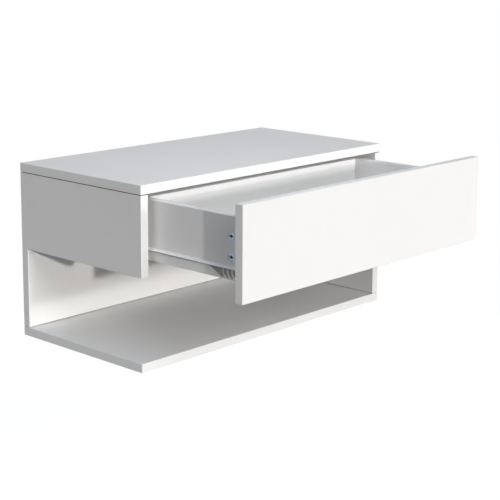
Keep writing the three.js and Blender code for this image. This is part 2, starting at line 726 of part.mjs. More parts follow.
// A turned piece on both sides, at its own axis. out is its direction on the left.
function addTurnedPair(group, name, geometry, at, out, paint) {
  for (const { word, sign } of SIDES) {
    const mesh = new THREE.Mesh(geometry, paint());
    mesh.name = `${name}_${word}`;
    mesh.position.set(sign * at[0], at[1], at[2]);
    mesh.quaternion.setFromUnitVectors(OUT_BACK, out.clone().multiplyScalar(sign));
    group.add(mesh);
  }
}

function buildDrawerBoards(group) {
  const grooveLow = sheetFoot - CLEARANCE;
  const grooveHigh = sheetTop + CLEARANCE;
  const grooveOuter = boxInner - GROOVE_DEPTH;
  const grooveFront = [grooveOuter, front - GROOVE_DEPTH, grooveLow];
  const frontCut = block(grooveFront, [-grooveOuter, front + OVERRUN, grooveHigh]);
  addBoard(group, 'drawer_front', [left, front - BOARD, frontFoot], [right, front, topZ], [frontCut]);
  const grooveEnd = boxRear + OVERRUN;
  const leftLow = [grooveOuter, boxFront - OVERRUN, grooveLow];
  const leftCut = block(leftLow, [boxInner + OVERRUN, grooveEnd, grooveHigh]);
  const rightCut = mirrored(leftCut);
  const sideLow = [boxOuter, boxFront, boxFoot];
  const sideHigh = [boxInner, boxRear, boxTop];
  addBoard(group, 'drawer_side_left', sideLow, sideHigh, [leftCut]);
  const rightLow = [-boxInner, boxFront, boxFoot];
  const rightHigh = [-boxOuter, boxRear, boxTop];
  addBoard(group, 'drawer_side_right', rightLow, rightHigh, [rightCut]);
  const backLow = [boxInner + SEAM, drawerBackFront, sheetTop + SEAM];
  addBoard(group, 'drawer_back', backLow, [-boxInner - SEAM, drawerBackRear, boxTop]);
  const sheetLow = [grooveOuter + CLEARANCE, front - GROOVE_DEPTH + CLEARANCE, sheetFoot];
  const sheet = block(sheetLow, [-grooveOuter - CLEARANCE, drawerBackRear, sheetTop]);
  addPiece(group, 'drawer_bottom', sheet, whiteSheet);
}

const nightstand = new THREE.Group();
const carcass = new THREE.Group();
const drawer = new THREE.Group();
drawer.position.y = -travel;
nightstand.add(carcass, drawer);

buildCarcassBoards(carcass);
addFixings(carcass, carcassFixings);
addMirroredPair(carcass, 'cabinet_runner', cabinetRunner(), whiteSteel);
const frontPinAt = [channelWeb - STEEL, frontAxleY, frontAxleZ];
addTurnedPair(carcass, 'front_roller_pin', rollerPin(), frontPinAt, OUT_RIGHT, plated);
const frontRollerAt = [frontRollerOuter, frontAxleY, frontAxleZ];
addTurnedPair(carcass, 'front_roller', roller(FRONT_ROLLER_RADIUS), frontRollerAt, OUT_RIGHT, whitePlastic);

buildDrawerBoards(drawer);
addFixings(drawer, drawerFixings);
addMirroredPair(drawer, 'drawer_runner', drawerRunner(), whiteSteel);
addMirroredPair(drawer, 'runner_clip', runnerClip(), whitePlastic);
const rearPinAt = [drawerWeb + STEEL, rearAxleY, rearAxleZ];
addTurnedPair(drawer, 'rear_roller_pin', rollerPin(), rearPinAt, OUT_LEFT, plated);
const rearRollerAt = [rearRollerOuter, rearAxleY, rearAxleZ];
addTurnedPair(drawer, 'rear_roller', roller(REAR_ROLLER_RADIUS), rearRollerAt, OUT_LEFT, whitePlastic);

export default nightstand;
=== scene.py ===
# %% [markdown]
# A wall-hung bedside cabinet with one drawer.
#
# The cabinet is made of white faced board. A top, a shelf and a back are joined by a short side
# on the left and a full side on the right, and the drawer runs on a pair of steel roller runners.
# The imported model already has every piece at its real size. This lesson gives each of them the
# shape and the finish that it shows close up, and moves nothing.

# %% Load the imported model
import json
import math

import bmesh
import bpy
from mathutils import Matrix, Vector

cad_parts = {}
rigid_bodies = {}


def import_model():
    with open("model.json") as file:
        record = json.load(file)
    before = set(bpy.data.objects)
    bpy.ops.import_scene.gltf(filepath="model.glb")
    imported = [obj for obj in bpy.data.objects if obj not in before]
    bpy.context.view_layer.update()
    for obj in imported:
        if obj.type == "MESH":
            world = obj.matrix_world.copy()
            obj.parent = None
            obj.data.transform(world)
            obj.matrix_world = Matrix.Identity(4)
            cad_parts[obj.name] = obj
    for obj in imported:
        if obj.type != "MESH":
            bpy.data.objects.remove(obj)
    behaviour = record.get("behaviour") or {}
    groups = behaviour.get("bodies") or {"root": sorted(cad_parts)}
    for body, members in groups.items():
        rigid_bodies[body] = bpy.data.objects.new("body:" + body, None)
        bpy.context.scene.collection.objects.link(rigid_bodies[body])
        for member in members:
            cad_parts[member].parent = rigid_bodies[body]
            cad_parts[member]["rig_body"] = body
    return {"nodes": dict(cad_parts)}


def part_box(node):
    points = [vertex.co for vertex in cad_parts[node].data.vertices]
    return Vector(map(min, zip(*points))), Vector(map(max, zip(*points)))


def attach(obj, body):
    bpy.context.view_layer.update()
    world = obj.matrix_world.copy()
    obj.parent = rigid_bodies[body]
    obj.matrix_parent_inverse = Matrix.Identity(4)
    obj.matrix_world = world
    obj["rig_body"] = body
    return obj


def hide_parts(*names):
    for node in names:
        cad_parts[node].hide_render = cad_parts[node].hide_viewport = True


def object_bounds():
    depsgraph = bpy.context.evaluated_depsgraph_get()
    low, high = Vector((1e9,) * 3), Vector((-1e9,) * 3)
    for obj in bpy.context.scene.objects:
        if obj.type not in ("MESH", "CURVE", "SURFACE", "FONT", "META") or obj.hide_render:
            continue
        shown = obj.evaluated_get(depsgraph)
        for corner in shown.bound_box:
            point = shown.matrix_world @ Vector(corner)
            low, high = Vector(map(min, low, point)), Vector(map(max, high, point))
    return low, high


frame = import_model()
box_before = [list(corner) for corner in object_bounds()]
MM = 0.001
print("from", box_before[0], "to", box_before[1])

# %% [markdown]
# The camera stands to the left of the cabinet and a little above it, and looks slightly down.
# Its place and lens were worked out from the edges of the cabinet in the photograph. The picture
# was taken with the lens raised against the film, so the upright edges run almost parallel:
# shift_y does that here, and there is no sideways shift.

# %% Camera
EYE = Vector((-1.6386, -1.7762, 0.5217))
EYE_AZIMUTH = math.radians(-47.016)
EYE_ELEVATION = math.radians(10.331)
EYE_ROLL = math.radians(0.309)
LENS = 95.16
SHIFT_UP = -0.14
UP = Vector((0, 0, 1))


def towards(azimuth, elevation):
    """The direction from the object to a lamp or camera. Azimuth 0 is straight in front of it."""
    flat = math.cos(elevation)
    return Vector((math.sin(azimuth) * flat, -math.cos(azimuth) * flat, math.sin(elevation)))


def facing(back, roll=0.0):
    """The rotation of a camera or lamp whose back points along a direction."""
    right = UP.cross(back).normalized()
    up = back.cross(right)
    tilted_right = math.cos(roll) * right + math.sin(roll) * up
    tilted_up = math.cos(roll) * up - math.sin(roll) * right
    return Matrix((tilted_right, tilted_up, back)).transposed()


def link(thing):
    bpy.context.scene.collection.objects.link(thing)
    return thing


scene = bpy.context.scene
scene.view_settings.view_transform = "Standard"
camera = link(bpy.data.objects.new("camera", bpy.data.cameras.new("camera")))
camera.location = EYE
camera.rotation_mode = "QUATERNION"
camera.rotation_quaternion = facing(towards(EYE_AZIMUTH, EYE_ELEVATION), EYE_ROLL).to_quaternion()
camera.data.sensor_width = 36
camera.data.lens = LENS
camera.data.shift_y = SHIFT_UP
scene.camera = camera
print("camera at", tuple(round(value, 3) for value in EYE), "lens", LENS)

# %% [markdown]
# Most of the scripting below is nodes: shader nodes for finishes, geometry nodes for what
# repeats. Three small helpers keep that readable. One adds a node and fills in its inputs, one
# adds a named socket to a tree, and one starts a group with its inputs and outputs.

# %% Helpers for nodes
SOCKETS = {
    "value": "NodeSocketFloat",
    "count": "NodeSocketInt",
    "vector": "NodeSocketVector",
    "colour": "NodeSocketColor",
    "shape": "NodeSocketGeometry",
    "object": "NodeSocketObject",
    "material": "NodeSocketMaterial",
}


def put(tree, kind, values=None, **settings):
    """Adds a node. values maps its inputs to numbers or to the outputs that feed them."""
    made = tree.nodes.new(kind)
    for key, value in settings.items():
        setattr(made, key, value)
    for key, value in (values or {}).items():
        if isinstance(value, bpy.types.NodeSocket):
            tree.links.new(value, made.inputs[key])
        else:
            made.inputs[key].default_value = value
    return made


def calculate(tree, operation, first, second):
    return put(tree, "ShaderNodeMath", {0: first, 1: second}, operation=operation).outputs[0]


def new_group(kind, name, inputs, outputs):
    """A node group with named sockets, given as {"name": (kind of socket, default)}."""
    tree = bpy.data.node_groups.new(name, kind)
    for label, (socket, default) in inputs.items():
        made = tree.interface.new_socket(label, in_out="INPUT", socket_type=SOCKETS[socket])
        if default is not None:
            made.default_value = default
    for label, socket in outputs.items():
        tree.interface.new_socket(label, in_out="OUTPUT", socket_type=SOCKETS[socket])
    return tree, tree.nodes.new("NodeGroupInput").outputs, tree.nodes.new("NodeGroupOutput").inputs


print("sockets:", ", ".join(SOCKETS))

# %% [markdown]
# The cabinet hangs in the air in the photograph, on plain white. The floor lies well below it, as
# under a real one. It throws back less than half of the light, or the undersides of the boards
# would be too bright. Lit alone it would come out grey, so it glows for the camera and for
# reflections, and still takes the object's shadow. The world does the same: it is white to look
# at and dim to light with.

# %% Floor and background
FLOOR_DROP = 0.42
FLOOR_Z = box_before[0][2] - FLOOR_DROP
FLOOR_RADIUS = 1.7
FLOOR_COLOUR = (0.45, 0.45, 0.45, 1)
FLOOR_GLOW = 0.84
AMBIENT = (0.02, 0.022, 0.024, 1)
WHITE = (1, 1, 1, 1)


def seen_directly(tree):
    """1 for rays that show the background: straight from the camera, in a gloss or through glass."""
    rays = put(tree, "ShaderNodeLightPath").outputs
    either = calculate(tree, "MAXIMUM", rays["Is Camera Ray"], rays["Is Glossy Ray"])
    return calculate(tree, "MAXIMUM", either, rays["Is Transmission Ray"])


def make_floor():
    shape = bmesh.new()
    bmesh.ops.create_circle(shape, cap_ends=True, segments=96, radius=FLOOR_RADIUS)
    bmesh.ops.translate(shape, verts=shape.verts, vec=(0, box_before[0][1] / 2, FLOOR_Z))
    mesh = bpy.data.meshes.new("floor")
    shape.to_mesh(mesh)
    shape.free()
    paper = bpy.data.materials.new("floor_paper")
    paper.use_nodes = True
    tree = paper.node_tree
    tree.nodes.clear()
    lit = put(tree, "ShaderNodeBsdfDiffuse", {"Color": FLOOR_COLOUR})
    glow = put(tree, "ShaderNodeEmission", {"Color": WHITE})
    tree.links.new(calculate(tree, "MULTIPLY", seen_directly(tree), FLOOR_GLOW), glow.inputs["Strength"])
    both = put(tree, "ShaderNodeAddShader", {0: lit.outputs[0], 1: glow.outputs[0]})
    put(tree, "ShaderNodeOutputMaterial", {"Surface": both.outputs[0]})
    mesh.materials.append(paper)
    link(bpy.data.objects.new("floor", mesh))


def make_world():
    world = bpy.data.worlds.new("studio")
    world.use_nodes = True
    tree = world.node_tree
    tree.nodes.clear()
    dim = put(tree, "ShaderNodeBackground", {"Color": AMBIENT})
    white = put(tree, "ShaderNodeBackground", {"Color": WHITE})
    choice = put(tree, "ShaderNodeMixShader", {
        0: seen_directly(tree),
        1: dim.outputs[0],
        2: white.outputs[0],
    })
    put(tree, "ShaderNodeOutputWorld", {"Surface": choice.outputs[0]})
    scene.world = world


make_floor()
make_world()
print("floor", round(FLOOR_Z, 3), "m, ambient", AMBIENT[:3])

# %% [markdown]
# Two fairly small lamps stand in front, low down, one straight ahead and one to the left, a little
# warm. They throw the sharp shadows of the drawer onto the back panel. A wide, soft light from
# above and in front fills the open drawer. Four weak ones shape the rest: a blue one overhead
# lights whatever faces up, and one each keeps the two sides and the rear from going dark. All of
# these are distant. One small lamp hangs close over the drawer, because in the photograph the top
# gets lighter towards its front corner, and the upper edges of the drawer are lighter still. A
# white face that all the front lamps hit should stay just under full white, and that sets how
# strong they are.

# %% Lamps
NEUTRAL = (1.0, 1.0, 1.0)
PALE = (1.0, 0.985, 0.96)
WARM = (1.0, 0.955, 0.9)
BLUE = (0.12, 0.46, 1.0)
LAMPS = {
    # name: (azimuth and elevation in degrees, share, width in degrees, colour)
    "front_lamp": (0.0, 11.4, 0.262, 2.8, NEUTRAL),
    "left_lamp": (-16.6, 8.6, 0.41, 1.6, WARM),
    "soft_lamp": (-12.0, 34.0, 0.385, 30.0, PALE),
    "side_lamp": (-92.0, 34.0, 0.168, 40.0, PALE),
    "overhead_lamp": (-60.0, 80.0, 0.07, 60.0, BLUE),
    "right_lamp": (82.0, 6.0, 0.24, 50.0, NEUTRAL),
    "rear_lamp": (180.0, 4.0, 0.22, 50.0, NEUTRAL),
}
NEAR_LAMP_AT = Vector((-0.15, -0.5, 0.6))
NEAR_LAMP_WATTS = 0.5
NEAR_LAMP_SIZE = 0.3


def add_lamp(name, azimuth, elevation, share, width, colour):
    """A distant lamp. share is how bright a white surface gets that faces it, and width its angle."""
    lamp = link(bpy.data.objects.new(name, bpy.data.lights.new(name, "SUN")))
    lamp.data.energy = share * math.pi
    lamp.data.angle = math.radians(width)
    lamp.data.color = colour
    lamp.rotation_mode = "QUATERNION"
    back = towards(math.radians(azimuth), math.radians(elevation))
    lamp.rotation_quaternion = facing(back).to_quaternion()


def add_near_lamp():
    """A small round lamp that hangs over the open drawer and shines down."""
    lamp = link(bpy.data.objects.new("near_lamp", bpy.data.lights.new("near_lamp", "AREA")))
    lamp.data.shape = "DISK"
    lamp.data.size = NEAR_LAMP_SIZE
    lamp.data.energy = NEAR_LAMP_WATTS
    lamp.location = NEAR_LAMP_AT
    lamp.visible_camera = False


for name, values in LAMPS.items():
    add_lamp(name, *values)
add_near_lamp()
print("lamps:", ", ".join(LAMPS), "near_lamp")

# %% [markdown]
# Every finish here is nearly plain to the eye, and its life is in the fine structure: the pores
# pressed into a film, the orange peel of a powder coat, the cast skin of zinc. They differ in
# size and depth only, so one shader group makes them all. It takes the number of grains and
# clouds in a metre, and puts out both patterns.

# %% Shader groups
def make_skin_group():
    tree, given, out = new_group("ShaderNodeTree", "fine_skin", {
        "Place": ("vector", None),
        "Grains per metre": ("value", 2500.0),
        "Clouds per metre": ("value", 25.0),
        "Cloud contrast": ("value", 1.0),
    }, {"Grain": "value", "Cloud": "value"})
    grain = put(tree, "ShaderNodeTexNoise", {
        "Vector": given["Place"],
        "Scale": given["Grains per metre"],
        "Detail": 2.0,
        "Roughness": 0.45,
    })
    cloud = put(tree, "ShaderNodeTexNoise", {
        "Vector": given["Place"],
        "Scale": given["Clouds per metre"],
        "Detail": 4.0,
        "Roughness": 0.55,
    })
    middle = calculate(tree, "SUBTRACT", cloud.outputs[0], 0.5)
    spread = calculate(tree, "MULTIPLY", middle, given["Cloud contrast"])
    tree.links.new(grain.outputs[0], out["Grain"])
    tree.links.new(calculate(tree, "ADD", spread, 0.5), out["Cloud"])
    return tree


def make_shade_group():
    """Darkens a colour where the cloud is thick, and more where a mask says so."""
    tree, given, out = new_group("ShaderNodeTree", "shaded_colour", {
        "Colour": ("colour", WHITE),
        "Cloud": ("value", 0.5),
        "Cloud depth": ("value", 0.03),
        "Line": ("value", 0.0),
        "Line depth": ("value", 0.2),
    }, {"Colour": "colour"})
    middle = calculate(tree, "SUBTRACT", given["Cloud"], 0.5)
    clouds = calculate(tree, "MULTIPLY", middle, given["Cloud depth"])
    line = calculate(tree, "MULTIPLY", given["Line"], given["Line depth"])
    level = calculate(tree, "SUBTRACT", calculate(tree, "SUBTRACT", 1.0, clouds), line)
    shaded = put(tree, "ShaderNodeVectorMath", {0: given["Colour"]}, operation="SCALE")
    tree.links.new(level, shaded.inputs["Scale"])
    tree.links.new(shaded.outputs[0], out["Colour"])
    return tree


SKIN = make_skin_group()
SHADE = make_shade_group()
print("groups:", SKIN.name, SHADE.name)

# %% [markdown]
# A finish is then one material: the skin group reads object coordinates, so the pattern keeps its
# real size on every piece; the grain makes the bump, and the clouds shift the colour and the
# roughness a little. A mask that a mesh carries, such as the joint of an edge band, comes in as an
# attribute.

# %% Finishes
def new_finish(name, colour, rough, grains, clouds, bump, cloud_depth=0.03, rough_spread=0.1,
               contrast=1.6, line=None, line_depth=0.2, stretch=(1, 1, 1), metallic=0.0, gloss=0.5):
    """A material with a fine skin. rough is its roughness, bump the depth of the grain in metres."""
    material = bpy.data.materials.new(name)
    material.use_nodes = True
    tree = material.node_tree
    shader = tree.nodes["Principled BSDF"]
    where = put(tree, "ShaderNodeTexCoord").outputs["Object"]
    turned_place = put(tree, "ShaderNodeMapping", {"Vector": where, "Scale": stretch})
    skin = put(tree, "ShaderNodeGroup", node_tree=SKIN)
    skin.inputs["Grains per metre"].default_value = grains
    skin.inputs["Clouds per metre"].default_value = clouds
    skin.inputs["Cloud contrast"].default_value = contrast
    tree.links.new(turned_place.outputs[0], skin.inputs["Place"])
    shade = put(tree, "ShaderNodeGroup", node_tree=SHADE)
    shade.inputs["Colour"].default_value = (*colour, 1)
    shade.inputs["Cloud depth"].default_value = cloud_depth
    shade.inputs["Line depth"].default_value = line_depth
    tree.links.new(skin.outputs["Cloud"], shade.inputs["Cloud"])
    if line:
        mask = put(tree, "ShaderNodeAttribute", attribute_name=line)
        tree.links.new(mask.outputs["Fac"], shade.inputs["Line"])
    tree.links.new(shade.outputs["Colour"], shader.inputs["Base Color"])
    middle = calculate(tree, "SUBTRACT", skin.outputs["Cloud"], 0.5)
    spread = calculate(tree, "MULTIPLY", middle, rough_spread)
    tree.links.new(calculate(tree, "ADD", spread, rough), shader.inputs["Roughness"])
    relief = put(tree, "ShaderNodeBump", {"Strength": 1.0, "Distance": bump, "Height": skin.outputs["Grain"]})
    tree.links.new(relief.outputs[0], shader.inputs["Normal"])
    shader.inputs["Metallic"].default_value = metallic
    shader.inputs["Specular IOR Level"].default_value = gloss
    return material


BOARD_WHITE = (0.85, 0.85, 0.85)
FILM = new_finish("white_film", BOARD_WHITE, 0.52, grains=2600, clouds=18, bump=0.012 * MM,
                  cloud_depth=0.02, line="band_joint", line_depth=0.22, gloss=0.28)
CORE = new_finish("board_core", (0.62, 0.49, 0.34), 0.85, grains=900, clouds=380, bump=0.25 * MM,
                  cloud_depth=0.5, contrast=2.6)
# Raw ends and joint lips: a near-black grey in place of the brown core, painted shade in the joints.
RAW_END_SHADE = new_finish("raw_end_painted_shade", (0.2, 0.195, 0.19), 0.9, grains=900, clouds=380, bump=0.2 * MM,
                      cloud_depth=0.3, contrast=2.0)
HARDBOARD = new_finish("painted_hardboard", (0.84, 0.84, 0.83), 0.62, grains=1500, clouds=30,
                       bump=0.04 * MM, cloud_depth=0.05, stretch=(1, 0.45, 1))
POWDER_COAT = new_finish("powder_coat", (0.93, 0.93, 0.93), 0.42, grains=1100, clouds=60, bump=0.03 * MM,
                         cloud_depth=0.03)
# The sheet's end edge: near-black, painted shade for the dark line under the flange.
EDGE_SHADE = new_finish("sheet_edge_painted_shade", (0.2, 0.2, 0.195), 0.5, grains=1500, clouds=300, bump=0.02 * MM,
                         cloud_depth=0.2)
NYLON = new_finish("moulded_nylon", (0.86, 0.86, 0.84), 0.38, grains=700, clouds=90, bump=0.015 * MM,
                   cloud_depth=0.04)
# The clip's plate: a dark grey that paints the shade between its ribs.
CLIP_PLATE_SHADE = new_finish("clip_plate_painted_shade", (0.33, 0.325, 0.315), 0.55, grains=700, clouds=90, bump=0.02 * MM,
                        cloud_depth=0.05)
# The driver slots of the cam locks: near-black, painted shade inside the recess.
RECESS_PAINTED_SHADE = new_finish("driver_recess_painted_shade", (0.025, 0.027, 0.03), 0.7, grains=1500, clouds=200, bump=0.02 * MM)
ZINC = new_finish("passivated_zinc", (0.225, 0.278, 0.34), 0.36, grains=1800, clouds=260, bump=0.02 * MM,
                  cloud_depth=0.25, rough_spread=0.25, metallic=1.0)
PLATED = new_finish("plated_steel", (0.72, 0.74, 0.77), 0.3, grains=2500, clouds=300, bump=0.008 * MM,
                    cloud_depth=0.12, rough_spread=0.2, metallic=1.0)
print("finishes:", len(bpy.data.materials) - 1, "for the object, one for the floor")

# %% [markdown]
# Round pieces such as screws, bolts, pins and rollers are turned: a short profile of radius and
# height goes round an axis. It is written from the foot up, so the faces point outwards, and a
# radius of zero closes it with a pole. Flat ones are an outline that is drawn out, with walls
# between its rings of points. Holes are cut with such shapes too, and a cutter stands a little
# over the surface that it opens, because two faces in one plane spoil a cut.

# %% Turned and flat shapes
CORNER = math.radians(32)
OVER = 4 * MM


def add_mesh(name, shape, *finishes):
    """Makes an object of a bmesh, with smooth rounds and sharp corners."""
    mesh = bpy.data.meshes.new(name)
    shape.to_mesh(mesh)
    shape.free()
    for finish in finishes:
        mesh.materials.append(finish)
    mesh.shade_smooth()
    mesh.set_sharp_from_angle(angle=CORNER)
    return link(bpy.data.objects.new(name, mesh))


def turned(profile, sides=40, bored=False):
    """A shape turned round Z from (radius, height) points in metres, closed at its poles.

    A bored shape has no poles: its last point joins its first.
    """
    shape = bmesh.new()
    rings = []
    for radius, height in profile:
        count = sides if radius > 0 else 1
        angles = [2 * math.pi * i / sides for i in range(count)]
        rings.append([shape.verts.new((radius * math.cos(a), radius * math.sin(a), height)) for a in angles])
    for low, high in zip(rings, rings[1:] + (rings[:1] if bored else [])):
        for i in range(sides):
            j = (i + 1) % sides
            ring = [low[i % len(low)], low[j % len(low)], high[j % len(high)], high[i % len(high)]]
            corners = list(dict.fromkeys(ring))
            if len(corners) > 2:
                shape.faces.new(corners)
    return shape


def rod(radius, foot, head, sides=40):
    """A plain cylinder round Z."""
    return turned([(0, foot), (radius, foot), (radius, head), (0, head)], sides)


def bar(first, second):
    """A plain block between any two opposite corners."""
    low, high = (Vector([pick(pair) for pair in zip(first, second)]) for pick in (min, max))
    shape = bmesh.new()
    bmesh.ops.create_cube(shape, size=1)
    bmesh.ops.scale(shape, verts=shape.verts, vec=high - low)
    bmesh.ops.translate(shape, verts=shape.verts, vec=(low + high) / 2)
    return shape


def walls(shape, near, far):
    """The faces between two rings of points of the same number."""
    after = near[1:] + near[:1], far[1:] + far[:1]
    return [shape.faces.new((a, b, d, c)) for a, b, c, d in zip(near, far, *after)]


def eased(shape, offset, segments):
    """Rounds all edges of a shape."""
    bmesh.ops.bevel(shape, geom=shape.edges[:], offset=offset, segments=segments, profile=0.5, affect="EDGES")
    return shape


def placed(shape, at, out, reach):
    """Turns a shape whose face looks along +Z, and whose +Y is its reach, to a place."""
    side = Vector(reach).cross(Vector(out))
    turn = Matrix((side, Vector(reach), Vector(out))).transposed().to_4x4()
    bmesh.ops.transform(shape, verts=shape.verts, matrix=Matrix.Translation(at) @ turn)
    return shape


print("corners sharper than", round(math.degrees(CORNER)), "degrees stay sharp")

# %% [markdown]
# A modifier only describes a change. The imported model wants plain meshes, so what the modifiers
# make is turned into the piece's own mesh, and they are removed. Cutting and joining use the exact
# solver. It needs closed shapes, and it can give the new faces the finish of the shape that cut
# them, which is how a hole in a white board shows a brown core.

# %% Cutting and joining
def made_plain(piece):
    """Turns what the modifiers make into the piece's own mesh, and removes them."""
    shapes = bpy.context.evaluated_depsgraph_get()
    result = piece.evaluated_get(shapes)
    mesh = bpy.data.meshes.new_from_object(result, preserve_all_data_layers=True, depsgraph=shapes)
    piece.modifiers.clear()
    piece.data = mesh
    return piece


def combine(piece, tools, operation):
    """Cuts objects out of a piece (DIFFERENCE) or joins them to it (UNION), and removes them."""
    for tool in tools:
        step = piece.modifiers.new(tool.name, "BOOLEAN")
        step.object = tool
        step.solver = "EXACT"
        step.operation = operation
        step.material_mode = "TRANSFER"
    made_plain(piece)
    piece.data.set_sharp_from_angle(angle=CORNER)
    for tool in tools:
        bpy.data.objects.remove(tool)
    return piece


def cut_by(piece, cutters, finish):
    """Cuts shapes out of a piece. The new faces get a finish of their own."""
    tools = [add_mesh(f"cutter_{number}", shape, finish) for number, shape in enumerate(cutters)]
    return combine(piece, tools, "DIFFERENCE")


print("a cutter stands", OVER / MM, "mm over the surface that it opens")

# %% [markdown]
# Every visible piece stands for one or more pieces of the imported model. It takes their place
# and moves with the body that they belong to.

# %% Standing for a node
def body_of(node):
    return frame["nodes"][node]["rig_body"]


def set_up(piece, nodes):
    """Fixes a piece to the body of the nodes that it stands for, and hides those nodes."""
    body = body_of(nodes[0])
    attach(piece, body)
    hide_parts(*nodes)
    print(piece.name, "stands for", len(nodes), "node(s) on", body, len(piece.data.polygons), "faces")


print("bodies:", ", ".join(sorted({body_of(node) for node in frame["nodes"]})))

# %% [markdown]
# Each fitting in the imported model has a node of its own, named after what it does. From its box
# the script takes its place and its size; from its name the way its head looks (out) and, for a
# cam lock, the way to the board that it pulls in (reach). The boards below are drilled from the
# same places, so a fitting and its hole always agree.

# %% Where the fittings are
OUTWARD = {"left": Vector((-1, 0, 0)), "right": Vector((1, 0, 0))}
FORWARD = Vector((0, -1, 0))
BACKWARD = Vector((0, 1, 0))
DOWN = Vector((0, 0, -1))
SIDES = ("left", "right")


def directions(node):
    """(out, reach) of a fitting."""
    outward = OUTWARD["left" if "left" in node else "right"]
    if node.startswith("back_screw"):
        return BACKWARD, UP
    if node.startswith(("shelf_screw", "drawer_runner_screw")):
        return DOWN, FORWARD
    if node.startswith("drawer_cam"):
        return outward, FORWARD
    if node.startswith("top_cam"):
        return -outward, UP
    if node.startswith(("drawer_screw", "rear_roller")):
        return outward, UP
    return -outward, UP


def middle_of(node):
    low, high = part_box(node)
    return (low + high) / 2


def from_outside(node):
    """(outer x, inner x) of a node at the left or right of the drawer."""
    low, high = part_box(node)
    return (low.x, high.x) if "left" in node else (high.x, low.x)


def place_of(node, crown=0.0):
    """(at, out, reach) of a fitting. at is the middle of its face, or of the rim under its crown."""
    out, reach = directions(node)
    low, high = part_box(node)
    half = (high - low) / 2
    face = middle_of(node) + Vector([a * b for a, b in zip(out, half)])
    return face - out * crown, out, reach


def nodes_of(*starts, ends=""):
    return sorted(n for n in frame["nodes"] if n.startswith(starts) and n.endswith(ends))


def boxes_meet(node, other):
    low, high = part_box(node)
    a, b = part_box(other)
    return all(a[i] < high[i] and b[i] > low[i] for i in range(3))


print(len(nodes_of("")), "nodes,", len(nodes_of("drawer")), "of them start with drawer")

# %% [markdown]
# The screws come in five kinds. A countersunk one sits level with its board, in a cone that is a
# little wider than its head, and one with a crown stands on the steel. Each kind is a row of
# sizes, and the hole of a screw is turned from the same row, with a little air all round.

# %% Kinds of screws and their holes
GAP = 0.3 * MM
HEAD_RIM = 0.5 * MM


def screw_kind(shank, head, length, sink, crown, pitch):
    """The sizes of a screw, given in millimetres: radii of shank and head, and heights."""
    sizes = {"shank": shank, "head": head, "length": length, "sink": sink, "crown": crown, "pitch": pitch}
    return {name: value * MM for name, value in sizes.items()}


KINDS = {
    "back_screw": screw_kind(3.2, 5.0, 48, sink=4.0, crown=0.0, pitch=2.4),
    "shelf_screw": screw_kind(3.2, 5.0, 48, sink=4.0, crown=0.0, pitch=2.4),
    "drawer_screw": screw_kind(1.9, 3.8, 38, sink=2.6, crown=0.0, pitch=1.6),
    "cabinet_runner_screw": screw_kind(1.7, 3.2, 11, sink=0.0, crown=0.9, pitch=1.4),
    "drawer_runner_screw": screw_kind(1.6, 3.0, 8.5, sink=0.0, crown=1.0, pitch=1.3),
}


def kind_of(node):
    return next(kind for kind in KINDS if node.startswith(kind))


def screw_space(size):
    """The hole of a screw: its shank, its countersink and a little air."""
    shank, head, length = (size[key] + GAP for key in ("shank", "head", "length"))
    sink = size["sink"]
    if sink == 0:
        return rod(shank, -length, OVER, 24)
    rim = HEAD_RIM + GAP
    return turned([
        (0, -length), (shank, -length), (shank, -sink - GAP), (head, -rim), (head, OVER), (0, OVER),
    ], 32)


def screw_spaces(node):
    """The cutters of all screws that reach into a node's box."""
    found = []
    for fitting in nodes_of(*KINDS):
        if boxes_meet(node, fitting):
            size = KINDS[kind_of(fitting)]
            found.append(placed(screw_space(size), *place_of(fitting, size["crown"])))
    return found


print(len(nodes_of(*KINDS)), "screws in", len(KINDS), "kinds")

# %% [markdown]
# A cam lock is a zinc disc in a bore, a thumb's width from the edge of its board. Turned by its
# cross, it draws in the head of a bolt that is driven into the other board, and so pulls the two
# together. Bore, bolt hole and lock are all turned shapes.

# %% Cam locks and their holes
CAM_RADIUS = 7.2 * MM
CAM_PLAY = 0.1 * MM
CAM_DEPTH = 11.8 * MM
CAM_REACH = 34 * MM
BOARD = 15 * MM
THREAD_LENGTH = 10.5 * MM
THREAD_HOLE = 3.2 * MM
SHAFT_HOLE = 3.9 * MM


def bolt_place(lock):
    """(at, out, reach) of the bolt of a cam lock: at its collar, looking back at the lock."""
    at, out, reach = place_of(lock)
    return at - out * BOARD / 2 + reach * CAM_REACH, -reach, out


def cam_spaces(node):
    """The cutters of the cam locks and bolts that reach into a board."""
    low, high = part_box(node)
    found = []
    for lock in nodes_of("drawer_cam", "top_cam", ends="_lock"):
        at, out, reach = place_of(lock)
        if all(low[i] - GAP < at[i] < high[i] + GAP for i in range(3)):
            bore = rod(CAM_RADIUS + CAM_PLAY, -CAM_DEPTH - GAP, OVER, 64)
            found.append(placed(bore, at, out, reach))
        if boxes_meet(node, lock.replace("_lock", "_bolt")):
            foot = -THREAD_LENGTH - GAP
            hole = turned([
                (0, foot), (THREAD_HOLE, foot), (THREAD_HOLE, 0), (SHAFT_HOLE, 0),
                (SHAFT_HOLE, CAM_REACH), (0, CAM_REACH),
            ], 32)
            found.append(placed(hole, *bolt_place(lock)))
    return found


print("cam bore", round(2 * (CAM_RADIUS + CAM_PLAY) / MM, 1), "mm")

# %% [markdown]
# A faced board is not a sharp block. Its edges carry a glued band, whose corner is eased by a
# scraper, and the joint between film and band is a hairline a millimetre in from the edge. So a
# board starts as a block, its edges are rounded, two narrow rings are inset on its wide faces,
# and the second of them is marked as the joint. A painted line could stand for the joint as well,
# but a ring in the mesh stays sharp at any distance.

# %% Board blanks
EASE = 0.5 * MM
BAND = 1.0 * MM
JOINT = 0.12 * MM


